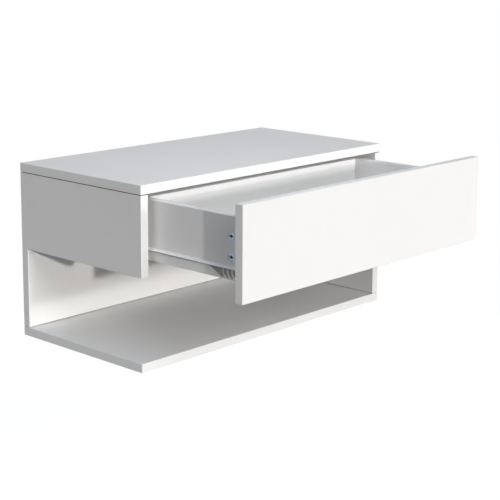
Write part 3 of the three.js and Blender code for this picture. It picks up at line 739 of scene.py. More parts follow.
def board_shape(low, high):
    """A board with eased edges and the joints of its edge bands."""
    size = [high[i] - low[i] for i in range(3)]
    thin = size.index(min(size))
    shape = eased(bar(low, high), EASE, 3)
    joint = shape.faces.layers.float.new("band_joint")
    level = [face for face in shape.faces if abs(face.normal[thin]) > 0.999]
    wide = sorted(level, key=lambda face: -face.calc_area())[:2]
    bmesh.ops.inset_individual(shape, faces=wide, thickness=BAND - EASE)
    ring = bmesh.ops.inset_individual(shape, faces=wide, thickness=JOINT)
    for face in ring["faces"]:
        face[joint] = 1.0
    return shape


print("band joint", JOINT / MM, "mm wide,", BAND / MM, "mm from the edge")

# %% [markdown]
# Ends that butt against another board carry no band: they are sawn off raw, a hair short, which
# leaves the thin dark line under the top. A lip set back from the faces closes that joint, or
# light would shine through it. The raw ends and the lips get a near-black grey, not the brown of
# the core, which paints the shade inside the joint.

# %% Raw ends and their lips
SHADOW_JOINT = 0.85 * MM
HAIR_JOINT = 0.2 * MM
LIP_INSET = 4 * MM
RAW_ENDS = {
    "left_side_panel": {"top": SHADOW_JOINT, "rear": HAIR_JOINT},
    "right_side_panel": {"top": SHADOW_JOINT, "foot": SHADOW_JOINT, "rear": HAIR_JOINT},
    "back_panel": {"top": SHADOW_JOINT, "foot": SHADOW_JOINT},
    "drawer_side_left": {"front": 0.0},
    "drawer_side_right": {"front": 0.0},
    "drawer_back": {"left": 0.0, "right": 0.0},
}
END_AXES = {"left": (0, 0), "right": (0, 1), "front": (1, 0), "rear": (1, 1), "foot": (2, 0), "top": (2, 1)}


def raw_ends(node, low, high):
    """The corners of a board that is left too long at its raw ends, and the saw cuts there."""
    rough = [list(low), list(high)]
    cuts = []
    for end, short in RAW_ENDS.get(node, {}).items():
        axis, top = END_AXES[end]
        way = 1 if top else -1
        rough[top][axis] += way * OVER / 2
        corners = [[value - OVER for value in low], [value + OVER for value in high]]
        corners[1 - top][axis] = (high if top else low)[axis] - way * short
        cuts.append(bar(*corners))
    return rough[0], rough[1], cuts


def joint_lips(node, low, high):
    """The lips that reach from the raw ends of a board to the boards that they meet."""
    lips = []
    for end, short in RAW_ENDS.get(node, {}).items():
        if short:
            axis, top = END_AXES[end]
            corners = [[value + LIP_INSET for value in low], [value - LIP_INSET for value in high]]
            corners[top][axis] = (high if top else low)[axis]
            corners[1 - top][axis] = corners[top][axis] - (1 if top else -1) * LIP_INSET
            # The lip is near-black grey: painted shade inside the joint.
            lips.append(add_mesh("lip", bar(*corners), RAW_END_SHADE))
    return lips


print("raw ends:", sum(len(ends) for ends in RAW_ENDS.values()))

# %% [markdown]
# Three countersunk holes high up in the back take the screws that carry the cabinet on the wall.
# The drawer bottom slides in grooves of the drawer's sides and front, and passes under its back.
# The cutters stand a little over the faces that they open.

# %% Wall holes and grooves
WALL_HOLES_ALONG = (0.16, 0.5, 0.84)
WALL_HOLES_UP = 0.84
WALL_HOLE = 2.8 * MM
WALL_HOLE_RIM = 5.4 * MM
WALL_HOLE_SINK = 3 * MM
GROOVE_DEPTH = 6 * MM


def wall_holes():
    """The countersunk holes for the wall screws, behind the drawer."""
    low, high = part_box("back_panel")
    height = low.z + (high.z - low.z) * WALL_HOLES_UP
    foot = -BOARD - OVER
    found = []
    for share in WALL_HOLES_ALONG:
        hole = turned([
            (0, foot), (WALL_HOLE, foot), (WALL_HOLE, -WALL_HOLE_SINK), (WALL_HOLE_RIM, 0),
            (WALL_HOLE_RIM, OVER), (0, OVER),
        ])
        at = Vector((low.x + (high.x - low.x) * share, low.y, height))
        found.append(placed(hole, at, FORWARD, UP))
    return found


def grooves(node):
    """The groove of the drawer bottom, where a board has one."""
    low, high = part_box("drawer_bottom")
    foot, head = low.z - GAP, high.z + GAP
    front, rear = (corner.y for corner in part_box(node))
    if node == "drawer_front":
        return [bar((low.x - GAP, rear - GROOVE_DEPTH, foot), (high.x + GAP, rear + OVER, head))]
    if node.startswith("drawer_side"):
        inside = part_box("drawer_back")
        edge, end = low.x - GAP, inside[0].x + OVER
        if "right" in node:
            edge, end = high.x + GAP, inside[1].x - OVER
        return [bar((edge, front - OVER, foot), (end, rear + OVER, head))]
    return []


print(len(WALL_HOLES_ALONG), "wall holes, grooves", GROOVE_DEPTH / MM, "mm deep")

# %% [markdown]
# Holes and grooves are cut last, and show the brown core. Weighted normals keep the wide faces
# flat, which a cut through a rounded block would otherwise spoil.

# %% Boards
BOARDS = {
    "top_panel": "top_board",
    "shelf_panel": "shelf_board",
    "back_panel": "back_board",
    "left_side_panel": "left_side_board",
    "right_side_panel": "right_side_board",
    "drawer_front": "drawer_front_board",
    "drawer_side_left": "drawer_side_board_left",
    "drawer_side_right": "drawer_side_board_right",
    "drawer_back": "drawer_back_board",
}


def make_board(node, name):
    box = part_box(node)
    low, high, cuts = raw_ends(node, *box)
    piece = add_mesh(name, board_shape(low, high), FILM, CORE)
    # The saw cuts give the raw ends a near-black grey: painted shade in the joints.
    cut_by(piece, cuts, RAW_END_SHADE)
    combine(piece, joint_lips(node, *box), "UNION")
    cutters = [*screw_spaces(node), *cam_spaces(node), *grooves(node)]
    if node == "back_panel":
        cutters += wall_holes()
    cut_by(piece, cutters, CORE)
    even = piece.modifiers.new("even", "WEIGHTED_NORMAL")
    even.keep_sharp = True
    made_plain(piece)
    set_up(piece, [node])


for node, name in BOARDS.items():
    make_board(node, name)

# %% [markdown]
# The drawer bottom is a sheet of painted hardboard in the grooves. Only its sawn edges are eased.

# %% Drawer bottom
SHEET_EASE = 0.2 * MM
sheet = add_mesh("drawer_bottom_sheet", eased(bar(*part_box("drawer_bottom")), SHEET_EASE, 2), HARDBOARD)
set_up(sheet, ["drawer_bottom"])

# %% [markdown]
# Screws, bolts, pins and cam locks come in sets of equal pieces. One pattern of each is modelled,
# and a small geometry-node tree sets it on points. Each point carries two directions, which a
# node turns into a rotation, and screws are also turned by a random angle about their own axis,
# because nobody drives them to the same angle. The finish goes on the pattern's first material
# only, so the near-black painted shade of a recess stays. Every tree here ends in the same three
# nodes: the copies, the step that makes them real meshes, and the one that gives them their finish.

# %% Geometry nodes: a pattern set on points
def copies_on(tree, points, shape, rotation, finish, where=True):
    """Copies of a shape on points, made real, with a finish on the faces that where selects."""
    copies = put(tree, "GeometryNodeInstanceOnPoints", {
        "Points": points,
        "Instance": shape,
        "Rotation": rotation,
    })
    real = put(tree, "GeometryNodeRealizeInstances", {"Geometry": copies.outputs[0]})
    return put(tree, "GeometryNodeSetMaterial", {
        "Geometry": real.outputs[0],
        "Selection": where,
        "Material": finish,
    }).outputs[0]


def make_setting_tree():
    tree, given, out = new_group("GeometryNodeTree", "pattern_on_points", {
        "Points": ("shape", None),
        "Pattern": ("object", None),
        "Finish": ("material", None),
        "Largest turn": ("value", 0.0),
        "Seed": ("count", 1),
    }, {"Shape": "shape"})
    out_way = put(tree, "GeometryNodeInputNamedAttribute", {"Name": "out"}, data_type="FLOAT_VECTOR")
    reach_way = put(tree, "GeometryNodeInputNamedAttribute", {"Name": "reach"}, data_type="FLOAT_VECTOR")
    turn = put(tree, "FunctionNodeAxesToRotation", {
        0: out_way.outputs["Attribute"],
        1: reach_way.outputs["Attribute"],
    }, primary_axis="Z", secondary_axis="Y")
    angle = put(tree, "FunctionNodeRandomValue", data_type="FLOAT")
    tree.links.new(given["Largest turn"], angle.inputs[3])
    tree.links.new(given["Seed"], angle.inputs["Seed"])
    spin = put(tree, "FunctionNodeAxisAngleToRotation", {"Axis": (0, 0, 1), "Angle": angle.outputs[1]})
    both = put(tree, "FunctionNodeRotateRotation", {
        "Rotation": turn.outputs[0],
        "Rotate By": spin.outputs[0],
    }, rotation_space="LOCAL")
    pattern = put(tree, "GeometryNodeObjectInfo", {"Object": given["Pattern"]})
    shape = pattern.outputs["Geometry"]
    first = calculate(tree, "COMPARE", put(tree, "GeometryNodeInputMaterialIndex").outputs[0], 0.0)
    set_out = copies_on(tree, given["Points"], shape, both.outputs[0], given["Finish"], first)
    tree.links.new(set_out, out["Shape"])
    return tree


SETTING = make_setting_tree()
print("tree", SETTING.name)

# %% [markdown]
# The points are the vertices of a small mesh without faces, with the two directions as
# attributes. The tree runs on it as a modifier, and what it makes becomes the piece's mesh.

# %% Setting a pattern on nodes
def fill_in(piece, tree, **values):
    """Adds a geometry-node modifier and sets its inputs, which go by identifier and not by name."""
    modifier = piece.modifiers.new(tree.name, "NODES")
    modifier.node_group = tree
    sockets = {item.name: item.identifier for item in tree.interface.items_tree if item.in_out == "INPUT"}
    for name, value in values.items():
        modifier[sockets[name.replace("_", " ")]] = value


def set_pattern(name, pattern, finish, nodes, places, largest_turn=0.0):
    """Copies a pattern to (at, out, reach) places, and lets the piece stand for the nodes."""
    mesh = bpy.data.meshes.new(name)
    mesh.from_pydata([at for at, _, _ in places], [], [])
    for key, column in (("out", 1), ("reach", 2)):
        way = mesh.attributes.new(key, "FLOAT_VECTOR", "POINT")
        way.data.foreach_set("vector", [value for place in places for value in place[column]])
    piece = link(bpy.data.objects.new(name, mesh))
    fill_in(piece, SETTING, Pattern=pattern, Finish=finish, Largest_turn=largest_turn, Seed=len(places))
    made_plain(piece)
    set_up(piece, nodes)


print("inputs:", ", ".join(item.name for item in SETTING.interface.items_tree if item.in_out == "INPUT"))

# %% [markdown]
# The cross in a screw's head is two tapered wedges at right angles: wide and long at the mouth,
# and narrow at the bottom, as the driver's tip is.

# %% Driver slots
WEDGE_OVER = 1 * MM
WEDGE_FLOOR_LENGTH = 0.45
WEDGE_FLOOR_WIDTH = 0.67


def wedge(length, width, depth):
    """A tapered slot cutter along X, whose mouth is at the origin's height."""
    shape = bmesh.new()
    rings = []
    for height, longer, wider in (
        (WEDGE_OVER, 1.0, 1.0), (0.0, 1.0, 1.0), (-depth, WEDGE_FLOOR_LENGTH, WEDGE_FLOOR_WIDTH),
    ):
        long, wide = length / 2 * longer, width / 2 * wider
        corners = [(-long, -wide), (long, -wide), (long, wide), (-long, wide)]
        rings.append([shape.verts.new((x, y, height)) for x, y in corners])
    shape.faces.new(rings[0])
    shape.faces.new(rings[-1][::-1])
    for high, low in zip(rings, rings[1:]):
        walls(shape, high, low)
    return shape


def slot_at(angle, length, width, depth, height=0.0):
    """A wedge that is turned to an angle, with its mouth at a height."""
    shape = wedge(length, width, depth)
    turn = Matrix.Translation((0, 0, height)) @ Matrix.Rotation(angle, 4, "Z")
    bmesh.ops.transform(shape, verts=shape.verts, matrix=turn)
    return shape


def cross(length, width, depth, height):
    """Two wedges at right angles."""
    return [slot_at(angle, length, width, depth, height) for angle in (0, math.pi / 2)]


print("a slot narrows to", WEDGE_FLOOR_WIDTH, "of its width at the floor")

# %% [markdown]
# A screw pattern is a turned profile with a ridge for every turn of the thread. Closed rings stand
# in for the thread's spiral: its slope can't be seen on a screw of this size, and a turned profile
# stays one closed shape.

# %% Screws
THREAD_CORE = 0.72


def threaded(radius, start, end, pitch, core=THREAD_CORE):
    """Profile points of a thread's ridges, from its lower to its upper end. core is a share."""
    count = max(2, int((end - start) / pitch))
    step = (end - start) / count
    points = []
    for i in range(count):
        foot = start + i * step
        points += [(radius * core, foot), (radius, foot + step * 0.5), (radius * core, foot + step * 0.9)]
    return points


def screw_profile(shank, head, length, sink, crown, pitch):
    core = THREAD_CORE * shank
    is_long = length > 20 * MM
    tip = 3.2 * shank if is_long else 2 * shank
    neck = -sink - 2 * pitch if is_long else -pitch
    points = [(0, -length), (core * 0.25, -length + 0.1 * tip), (core, -length + tip * 0.8)]
    points += threaded(shank, -length + tip * 0.8, neck, pitch)
    if crown > 0:
        return points + [
            (core * 1.1, neck), (core * 1.1, 0), (head * 0.94, 0), (head, crown * 0.18),
            (head * 0.97, crown * 0.5), (head * 0.82, crown * 0.8), (head * 0.5, crown * 0.96), (0, crown),
        ]
    return points + [
        (core * 1.1, neck), (core * 1.1, -sink), (head * 0.97, -HEAD_RIM), (head, -0.38 * MM),
        (head, -0.1 * MM), (head - 0.12 * MM, 0), (0, 0),
    ]


def screw_pattern(kind):
    size = KINDS[kind]
    pattern = add_mesh(f"{kind}_pattern", turned(screw_profile(**size), 28), PLATED)
    length = size["head"] * 1.12
    depth = size["crown"] * 0.72 if size["crown"] else size["sink"] * 0.55
    return cut_by(pattern, cross(length, length * 0.26, depth, size["crown"]), PLATED)


def set_screws(kind):
    pattern = screw_pattern(kind)
    for body in ("cabinet", "drawer"):
        nodes = [node for node in nodes_of(kind) if body_of(node) == body]
        places = [place_of(node, KINDS[kind]["crown"]) for node in nodes]
        if nodes:
            set_pattern(f"{kind}s", pattern, PLATED, nodes, places, math.pi / 2)
    bpy.data.objects.remove(pattern)


for kind in KINDS:
    set_screws(kind)

# %% [markdown]
# The cam locks near the front of the drawer sides are the only bright fittings in the
# photograph: bluish discs with a black cross. The face is slightly hollow inside a raised rim. A
# deep slot with a narrower one across it takes the driver, four short nicks between them give it
# more bite, and an arrow on the rim shows the way to the bolt. The walls of the slots and nicks get
# a near-black finish, which paints the shade in them. Behind the face are the chamber for the
# bolt's head and the slot through which its neck swings in.

# %% Cam locks
CROSS = 7.4 * MM
DRIVER_SLOTS = (
    # (angle in degrees, length, width, depth)
    (90, CROSS, 2.5 * MM, 3.2 * MM),
    (0, CROSS * 0.86, 1.3 * MM, 2.4 * MM),
    (45, CROSS * 0.6, 0.6 * MM, 1.2 * MM),
    (-45, CROSS * 0.6, 0.6 * MM, 1.2 * MM),
)
CHAMBER_RADIUS = 4.6 * MM
CHAMBER_HALF = 3.4 * MM
MOUTH_RADIUS = 3.3 * MM
MOUTH_START = 2 * MM
NECK_HALF = 2.2 * MM
SWING_START = math.pi / 2 - 0.55
SWING_END = math.pi / 2 + 1.9
SWING_STEPS = 14


def cam_profile():
    rim, hollow = 0.7 * MM, 0.35 * MM
    return [
        (0, -CAM_DEPTH), (CAM_RADIUS - 0.6 * MM, -CAM_DEPTH), (CAM_RADIUS - 0.15 * MM, -CAM_DEPTH + 0.2 * MM),
        (CAM_RADIUS, -CAM_DEPTH + 0.6 * MM), (CAM_RADIUS, -0.35 * MM), (CAM_RADIUS - 0.12 * MM, -0.1 * MM),
        (CAM_RADIUS - 0.35 * MM, 0), (CAM_RADIUS - rim, 0), (CAM_RADIUS - rim - 0.25 * MM, -hollow),
        (CROSS / 2 + 0.9 * MM, -hollow), (CROSS / 2 + 0.5 * MM, -0.08 * MM), (0, -0.08 * MM),
    ]


def swing_slot():
    """The room in which the bolt's neck swings, from the cam's middle out to its rim."""
    reach = CAM_RADIUS + OVER
    shape = bmesh.new()
    layers = []
    for height in (-BOARD / 2 - NECK_HALF, -BOARD / 2 + NECK_HALF):
        swing = SWING_END - SWING_START
        arc = [SWING_START + swing * i / SWING_STEPS for i in range(SWING_STEPS + 1)]
        points = [(0.0, 0.0)] + [(reach * math.cos(a), reach * math.sin(a)) for a in arc]
        layers.append([shape.verts.new((x, y, height)) for x, y in points])
    low, high = layers
    shape.faces.new(low[::-1])
    shape.faces.new(high)
    walls(shape, high, low)
    return shape


def cam_pattern():
    """A cam lock. The mouth that takes the bolt's head lies at the end of the swing.

    It is a little narrower than the chamber is high, so that its cutter doesn't graze the floor.
    """
    pattern = add_mesh("cam_lock_pattern", turned(cam_profile(), 56), ZINC)
    recess = [slot_at(math.radians(angle), *sizes) for angle, *sizes in DRIVER_SLOTS]
    # The slot walls get a near-black finish: painted shade in the recess.
    cut_by(pattern, recess, RECESS_PAINTED_SHADE)
    middle = -BOARD / 2
    chamber = rod(CHAMBER_RADIUS, middle - CHAMBER_HALF, middle + CHAMBER_HALF)
    mouth_way = Vector((math.cos(SWING_END), math.sin(SWING_END), 0))
    mouth = rod(MOUTH_RADIUS, MOUTH_START, CAM_RADIUS + OVER, 24)
    placed(mouth, Vector((0, 0, middle)), mouth_way, UP)
    arrow = wedge(1.1 * MM, 0.5 * MM, 0.3 * MM)
    bmesh.ops.translate(arrow, verts=arrow.verts, vec=(0, CROSS / 2 + 1.6 * MM, -0.1 * MM))
    return cut_by(pattern, [chamber, swing_slot(), mouth, arrow], ZINC)


pattern = cam_pattern()
for start in ("drawer_cam", "top_cam"):
    locks = nodes_of(start, ends="_lock")
    set_pattern(f"{start}_locks", pattern, ZINC, locks, [place_of(lock) for lock in locks])
bpy.data.objects.remove(pattern)

# %% [markdown]
# The bolts of the cam locks sit in their holes and never show, but a drawer that is taken apart
# shows them: thread, collar, shaft, a thin neck and a round head.

# %% Cam bolts
BOLT_CORE = 0.75


def bolt_pattern():
    thread, collar, shaft, neck, head = 2.9 * MM, 3.6 * MM, 3.1 * MM, 1.9 * MM, 3.1 * MM
    shaft_end, head_half = CAM_REACH - CAM_RADIUS - 2 * GAP, 2.2 * MM
    points = [(0, -THREAD_LENGTH), (thread * 0.5, -THREAD_LENGTH)]
    points += threaded(thread, -THREAD_LENGTH + 0.8 * MM, -0.3 * MM, 1.9 * MM, BOLT_CORE)
    points += [
        (thread * BOLT_CORE, 0), (collar, 0), (collar, 1.0 * MM), (collar - 0.2 * MM, 1.2 * MM),
        (shaft, 1.2 * MM), (shaft, shaft_end - 0.6 * MM), (neck, shaft_end), (neck, CAM_REACH - head_half),
        (head * 0.9, CAM_REACH - head_half * 0.75), (head, CAM_REACH - head_half * 0.3),
        (head, CAM_REACH + head_half * 0.3), (head * 0.85, CAM_REACH + head_half * 0.75),
        (neck, CAM_REACH + head_half), (0, CAM_REACH + head_half),
    ]
    return add_mesh("cam_bolt_pattern", turned(points, 24), PLATED)


pattern = bolt_pattern()
for start in ("drawer_cam", "top_cam"):
    bolts = nodes_of(start, ends="_bolt")
    places = [bolt_place(bolt.replace("_bolt", "_lock")) for bolt in bolts]
    set_pattern(f"{start}_bolts", pattern, PLATED, bolts, places)
bpy.data.objects.remove(pattern)

# %% [markdown]
# The runners are folded from sheet steel. The path of the middle of the sheet is enough to draw
# one: each corner becomes an arc, the sheet gets its thickness on both sides, and the section is
# drawn out along the runner. The sheared edges are eased a little. The edge where the path ends, the
# flange's edge on a drawer runner, gets a near-black finish of its own: painted shade, for the dark
# line under the flange.

# %% Folded steel
STEEL = 1.2 * MM
FOLD_RADIUS = 1.4 * MM
FOLD_STEPS = 6
SHEARED = 0.15 * MM


def rounded_path(path):
    """The points of a path in X and Z, with an arc in place of each inner corner."""
    points = [Vector(path[0])]
    for before, corner, after in zip(path, path[1:], path[2:]):
        corner = Vector(corner)
        come = (Vector(before) - corner).normalized()
        go = (Vector(after) - corner).normalized()
        half = come.angle(go) / 2
        centre = corner + (come + go).normalized() * FOLD_RADIUS / math.sin(half)
        first = corner + come * FOLD_RADIUS / math.tan(half) - centre
        swing = math.copysign(math.pi - 2 * half, go.x * come.y - go.y * come.x)
        for i in range(FOLD_STEPS + 1):
            angle = swing * i / FOLD_STEPS
            across = Vector((-first.y, first.x))
            points.append(centre + first * math.cos(angle) + across * math.sin(angle))
    return points + [Vector(path[-1])]


def folded(path, start, end):
    """A strip of sheet steel, folded along a path, from start to end along Y."""
    line = rounded_path(path)
    line.insert(1, line[0] + (line[1] - line[0]).normalized() * SHEARED)
    line.insert(-1, line[-1] + (line[-2] - line[-1]).normalized() * SHEARED)
    last = len(line) - 1
    rows = []
    for i, point in enumerate(line):
        along = (line[min(i + 1, last)] - line[max(i - 1, 0)]).normalized()
        half = STEEL / 2 - (SHEARED if i in (0, last) else 0)
        rows.append((point, Vector((-along.y, along.x)), half))
    shape = bmesh.new()
    rings = []
    for y, less in ((start, SHEARED), (start + SHEARED, 0), (end - SHEARED, 0), (end, SHEARED)):
        outline = [point - across * (half - less) for point, across, half in rows]
        outline += [point + across * (half - less) for point, across, half in reversed(rows)]
        rings.append([shape.verts.new((x, y, z)) for x, z in outline])
    shape.faces.new(rings[0])
    shape.faces.new(rings[-1][::-1])
    for near, far in zip(rings, rings[1:]):
        # The faces round the end of the path get the second finish: the near-black painted shade of the edge.
        for face in walls(shape, near, far)[last - 1:last + 2]:
            face.material_index = 1
    bmesh.ops.recalc_face_normals(shape, faces=shape.faces)
    return shape


def pin_space(side, which, web, half_length):
    """The hole in a runner's web for the pin of its roller."""
    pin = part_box(f"{which}_roller_pin_{side}")
    axle = middle_of(f"{which}_roller_{side}")
    hole = rod(pin[1].z - axle.z + GAP, -half_length, half_length, 32)
    return placed(hole, Vector((web, axle.y, axle.z)), Vector((1, 0, 0)), UP)


print("steel", STEEL / MM, "mm, folds", FOLD_RADIUS / MM, "mm")

# %% [markdown]
# Between its screws, the web of a cabinet runner has a row of punched slots, for fixing it at
# other hole spacings. A geometry-node tree makes their cutters: a rounded outline is swept along
# a short line, closed at its ends, and set on a row of points.

# %% Punched slots
NEARLY_HALF = 0.499


def row_of_points(tree, given):
    """Points along Y, from the tree's inputs Start, Pitch and Count."""
    step = put(tree, "ShaderNodeCombineXYZ", {"Y": given["Pitch"]})
    return put(tree, "GeometryNodeMeshLine", {
        "Count": given["Count"],
        "Start Location": given["Start"],
        "Offset": step.outputs[0],
    }).outputs[0]


def make_slot_tree():
    tree, given, out = new_group("GeometryNodeTree", "punched_slots", {
        "Start": ("vector", None),
        "Pitch": ("value", 0.03),
        "Count": ("count", 4),
        "Length": ("value", 0.009),
        "Width": ("value", 0.004),
        "Depth": ("value", 0.004),
        "Finish": ("material", None),
    }, {"Shape": "shape"})
    outline = put(tree, "GeometryNodeCurvePrimitiveQuadrilateral", {
        "Width": given["Width"],
        "Height": given["Length"],
    })
    rounded = put(tree, "GeometryNodeFilletCurve", {
        "Curve": outline.outputs[0],
        "Radius": calculate(tree, "MULTIPLY", given["Width"], NEARLY_HALF),
        "Count": 8,
    }, mode="POLY")
    low = put(tree, "ShaderNodeCombineXYZ", {"Z": calculate(tree, "MULTIPLY", given["Depth"], -0.5)})
    high = put(tree, "ShaderNodeCombineXYZ", {"Z": calculate(tree, "MULTIPLY", given["Depth"], 0.5)})
    line = put(tree, "GeometryNodeCurvePrimitiveLine", {"Start": low.outputs[0], "End": high.outputs[0]})
    prism = put(tree, "GeometryNodeCurveToMesh", {
        "Curve": line.outputs[0],
        "Profile Curve": rounded.outputs[0],
        "Fill Caps": True,
    })
    across = (0, math.pi / 2, 0)
    set_out = copies_on(tree, row_of_points(tree, given), prism.outputs[0], across, given["Finish"])
    tree.links.new(set_out, out["Shape"])
    return tree


SLOTS = make_slot_tree()


def grown(name, tree, **values):
    """An object that a tree makes from nothing but its inputs."""
    piece = link(bpy.data.objects.new(name, bpy.data.meshes.new(name)))
    fill_in(piece, tree, **values)
    return made_plain(piece)


print("tree", SLOTS.name)

# %% [markdown]
# The cabinet's runner is a channel that is open towards the drawer. Over the front roller its top
# is cut away, so that the drawer's flange rides on the roller, and a tab that is bent down from
# the top stops the rear roller. The tab could be cut from the top and bent, but a small block that
# is joined on looks the same. Its place follows from the roller that it has to meet.

# %% Cabinet runners
SLOT = {"Pitch": 26 * MM, "Count": 3, "Length": 9 * MM, "Width": 3.6 * MM, "Depth": 5 * MM}
ROLLER_PLAY = 0.6 * MM
STOP_DROP = 4 * MM
FOLD_ROOM = 1.6 * MM


def stop_tab(side, start, end, ceiling):
    """The tab that hangs from the ceiling of the channel and meets the rear roller."""
    low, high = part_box(f"rear_roller_{side}")
    hub, radius = middle_of(f"rear_roller_{side}"), (high.z - low.z) / 2
    foot = ceiling - STOP_DROP
    back = hub.y - math.sqrt(radius ** 2 - (foot - hub.z) ** 2) - GAP
    tab = eased(bar((start, back - STEEL, foot), (end, back, ceiling + STEEL / 2)), SHEARED, 2)
    return add_mesh("stop_tab", tab, POWDER_COAT)


def make_cabinet_runner(side):
    node = f"cabinet_runner_{side}"
    low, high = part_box(node)
    outer, open_edge = from_outside(node)
    inward = math.copysign(1, open_edge - outer)
    web, web_face = outer + inward * STEEL / 2, outer + inward * STEEL
    top, foot = high.z - STEEL / 2, low.z + STEEL / 2
    path = [(open_edge, top), (web, top), (web, foot), (open_edge, foot)]
    channel = folded(path, low.y, high.y)
    # The edge where the sheet ends takes the near-black painted shade.
    piece = add_mesh(f"cabinet_runner_channel_{side}", channel, POWDER_COAT, EDGE_SHADE)

    ceiling = high.z - STEEL
    notch_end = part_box(f"front_roller_{side}")[1].y + 2 * GAP
    notch = bar(
        (web_face, low.y - OVER, ceiling - ROLLER_PLAY),
        (open_edge + inward * OVER, notch_end, high.z + OVER),
    )
    cut_by(piece, [notch, pin_space(side, "front", web, OVER), *screw_spaces(node)], POWDER_COAT)

    screw_end = min(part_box(screw)[1].y for screw in nodes_of(f"cabinet_runner_screw_{side}"))
    start = Vector((web, screw_end + SLOT["Pitch"], (top + foot) / 2))
    combine(piece, [grown("slot_cutter", SLOTS, Start=start, Finish=POWDER_COAT, **SLOT)], "DIFFERENCE")
    combine(piece, [stop_tab(side, web_face + inward * FOLD_ROOM, open_edge, ceiling)], "UNION")
    set_up(piece, [node])


for side in SIDES:
    make_cabinet_runner(side)

# %% [markdown]
# The drawer's runner has the opposite shape. It wraps under the drawer side, stands against it,
# and turns outwards as the flange that rolls on the front roller. The flange falls a little
# towards its edge, which keeps the drawer in the middle. In the photograph it is the bright strip
# along the drawer side with a dark line under it; the flange's edge is given a near-black finish,
# which paints part of that line's shade.

# %% Drawer runners
FLANGE_RISE = 2.6 * MM
FLANGE_FALL = 0.6 * MM
FLANGE_SHORT = 0.2 * MM


def make_drawer_runner(side):
    node = f"drawer_runner_{side}"
    low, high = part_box(node)
    outer, inner = from_outside(node)
    outward = math.copysign(1, outer - inner)
    web = from_outside(f"drawer_side_{side}")[0] + outward * (GAP + STEEL / 2)
    top, foot = high.z - STEEL / 2, low.z + STEEL / 2
    flange_edge = (outer - outward * FLANGE_SHORT, top - FLANGE_FALL)
    rail = folded([(inner, foot), (web, foot), (web, top + FLANGE_RISE), flange_edge], low.y, high.y)
    # The flange's edge is near-black: painted shade under the flange.
    piece = add_mesh(f"drawer_runner_rail_{side}", rail, POWDER_COAT, EDGE_SHADE)
    cut_by(piece, [pin_space(side, "rear", web, 2 * STEEL), *screw_spaces(node)], POWDER_COAT)
    set_up(piece, [node])


for side in SIDES:
    make_drawer_runner(side)

# %% [markdown]
# A moulded clip sits on the outside of each drawer runner, just behind the drawer front. It is a
# thin plate with a white edge that slants at the rear, and with bowed white ribs. The plate is given
# a dark grey, which paints the shade between the ribs. The ribs are equal, so a tree sweeps a round
# section along an arc and sets copies of it in a row.

# %% Runner clips
CLIP_TOP_LENGTH = 80 * MM
CLIP_FOOT_LENGTH = 52 * MM
CLIP_BASE = 0.7 * MM
CLIP_EDGE = 2.2 * MM
RIB = {
    "Pitch": 9.2 * MM,
    "Count": 5,
    "Bow": 10.4 * MM,
    "Start angle": -1.2,
    "Sweep": 1.55,
    "Radius": 1.15 * MM,
}
RIB_START = 10.5 * MM
RIB_TOP = 1.6 * MM
CLIP_EASE = 0.3 * MM


def make_rib_tree():
    tree, given, out = new_group("GeometryNodeTree", "bowed_ribs", {
        "Start": ("vector", None),
        "Pitch": ("value", 0.009),
        "Count": ("count", 5),
        "Bow": ("value", 0.011),
        "Start angle": ("value", -0.7),
        "Sweep": ("value", 1.4),
        "Radius": ("value", 0.001),
        "Finish": ("material", None),
    }, {"Shape": "shape"})
    arc = put(tree, "GeometryNodeCurveArc", {
        "Resolution": 14,
        "Radius": given["Bow"],
        "Start Angle": given["Start angle"],
        "Sweep Angle": given["Sweep"],
    }, mode="RADIUS")
    section = put(tree, "GeometryNodeCurvePrimitiveCircle", {"Resolution": 16, "Radius": given["Radius"]})
    rib = put(tree, "GeometryNodeCurveToMesh", {
        "Curve": arc.outputs[0],
        "Profile Curve": section.outputs[0],
        "Fill Caps": True,
    })
    upright = (math.pi / 2, 0, math.pi / 2)
    set_out = copies_on(tree, row_of_points(tree, given), rib.outputs[0], upright, given["Finish"])
    tree.links.new(set_out, out["Shape"])
    return tree


RIBS = make_rib_tree()


def plate(outline, first, second, ease=0.0):
    """A flat piece from an outline in Y and Z, between two places along X."""
    shape = bmesh.new()
    layers = [[shape.verts.new((x, y, z)) for y, z in outline] for x in (first, second)]
    shape.faces.new(layers[0])
    shape.faces.new(layers[1][::-1])
    walls(shape, *layers)
    bmesh.ops.recalc_face_normals(shape, faces=shape.faces)
    return eased(shape, ease, 3) if ease else shape


def make_clip(side):
    node = f"runner_clip_{side}"
    low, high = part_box(node)
    face, back = from_outside(node)
    outward = math.copysign(1, face - back)
    front, foot, head = low.y, low.z, high.z
    foot_end, top_end, sill_top = front + CLIP_FOOT_LENGTH, front + CLIP_TOP_LENGTH, foot + CLIP_EDGE / 2
    base = [(front, foot), (foot_end, foot), (top_end, head), (front, head)]
    slant = [(foot_end - CLIP_EDGE, foot), (foot_end, foot), (top_end, head), (top_end - CLIP_EDGE, head)]
    sill = [(front, foot), (foot_end, foot), (foot_end, sill_top), (front, sill_top)]
    thin = plate(base, back, back + outward * CLIP_BASE)
    # The plate is dark grey: painted shade between the ribs.
    piece = add_mesh(f"runner_clip_ribbed_{side}", thin, CLIP_PLATE_SHADE)
    arc_top = RIB["Bow"] * math.sin(RIB["Start angle"] + RIB["Sweep"])
    start = Vector((face - outward * RIB["Radius"], front + RIB_START - RIB["Bow"], head - RIB_TOP - arc_top))
    raised = [
        add_mesh("slant", plate(slant, back, face, CLIP_EASE), NYLON),
        add_mesh("sill", plate(sill, back, face, CLIP_EASE), NYLON),
        grown("ribs", RIBS, Start=start, Finish=NYLON, **RIB),
    ]
    combine(piece, raised, "UNION")
    set_up(piece, [node])


for side in SIDES:
    make_clip(side)

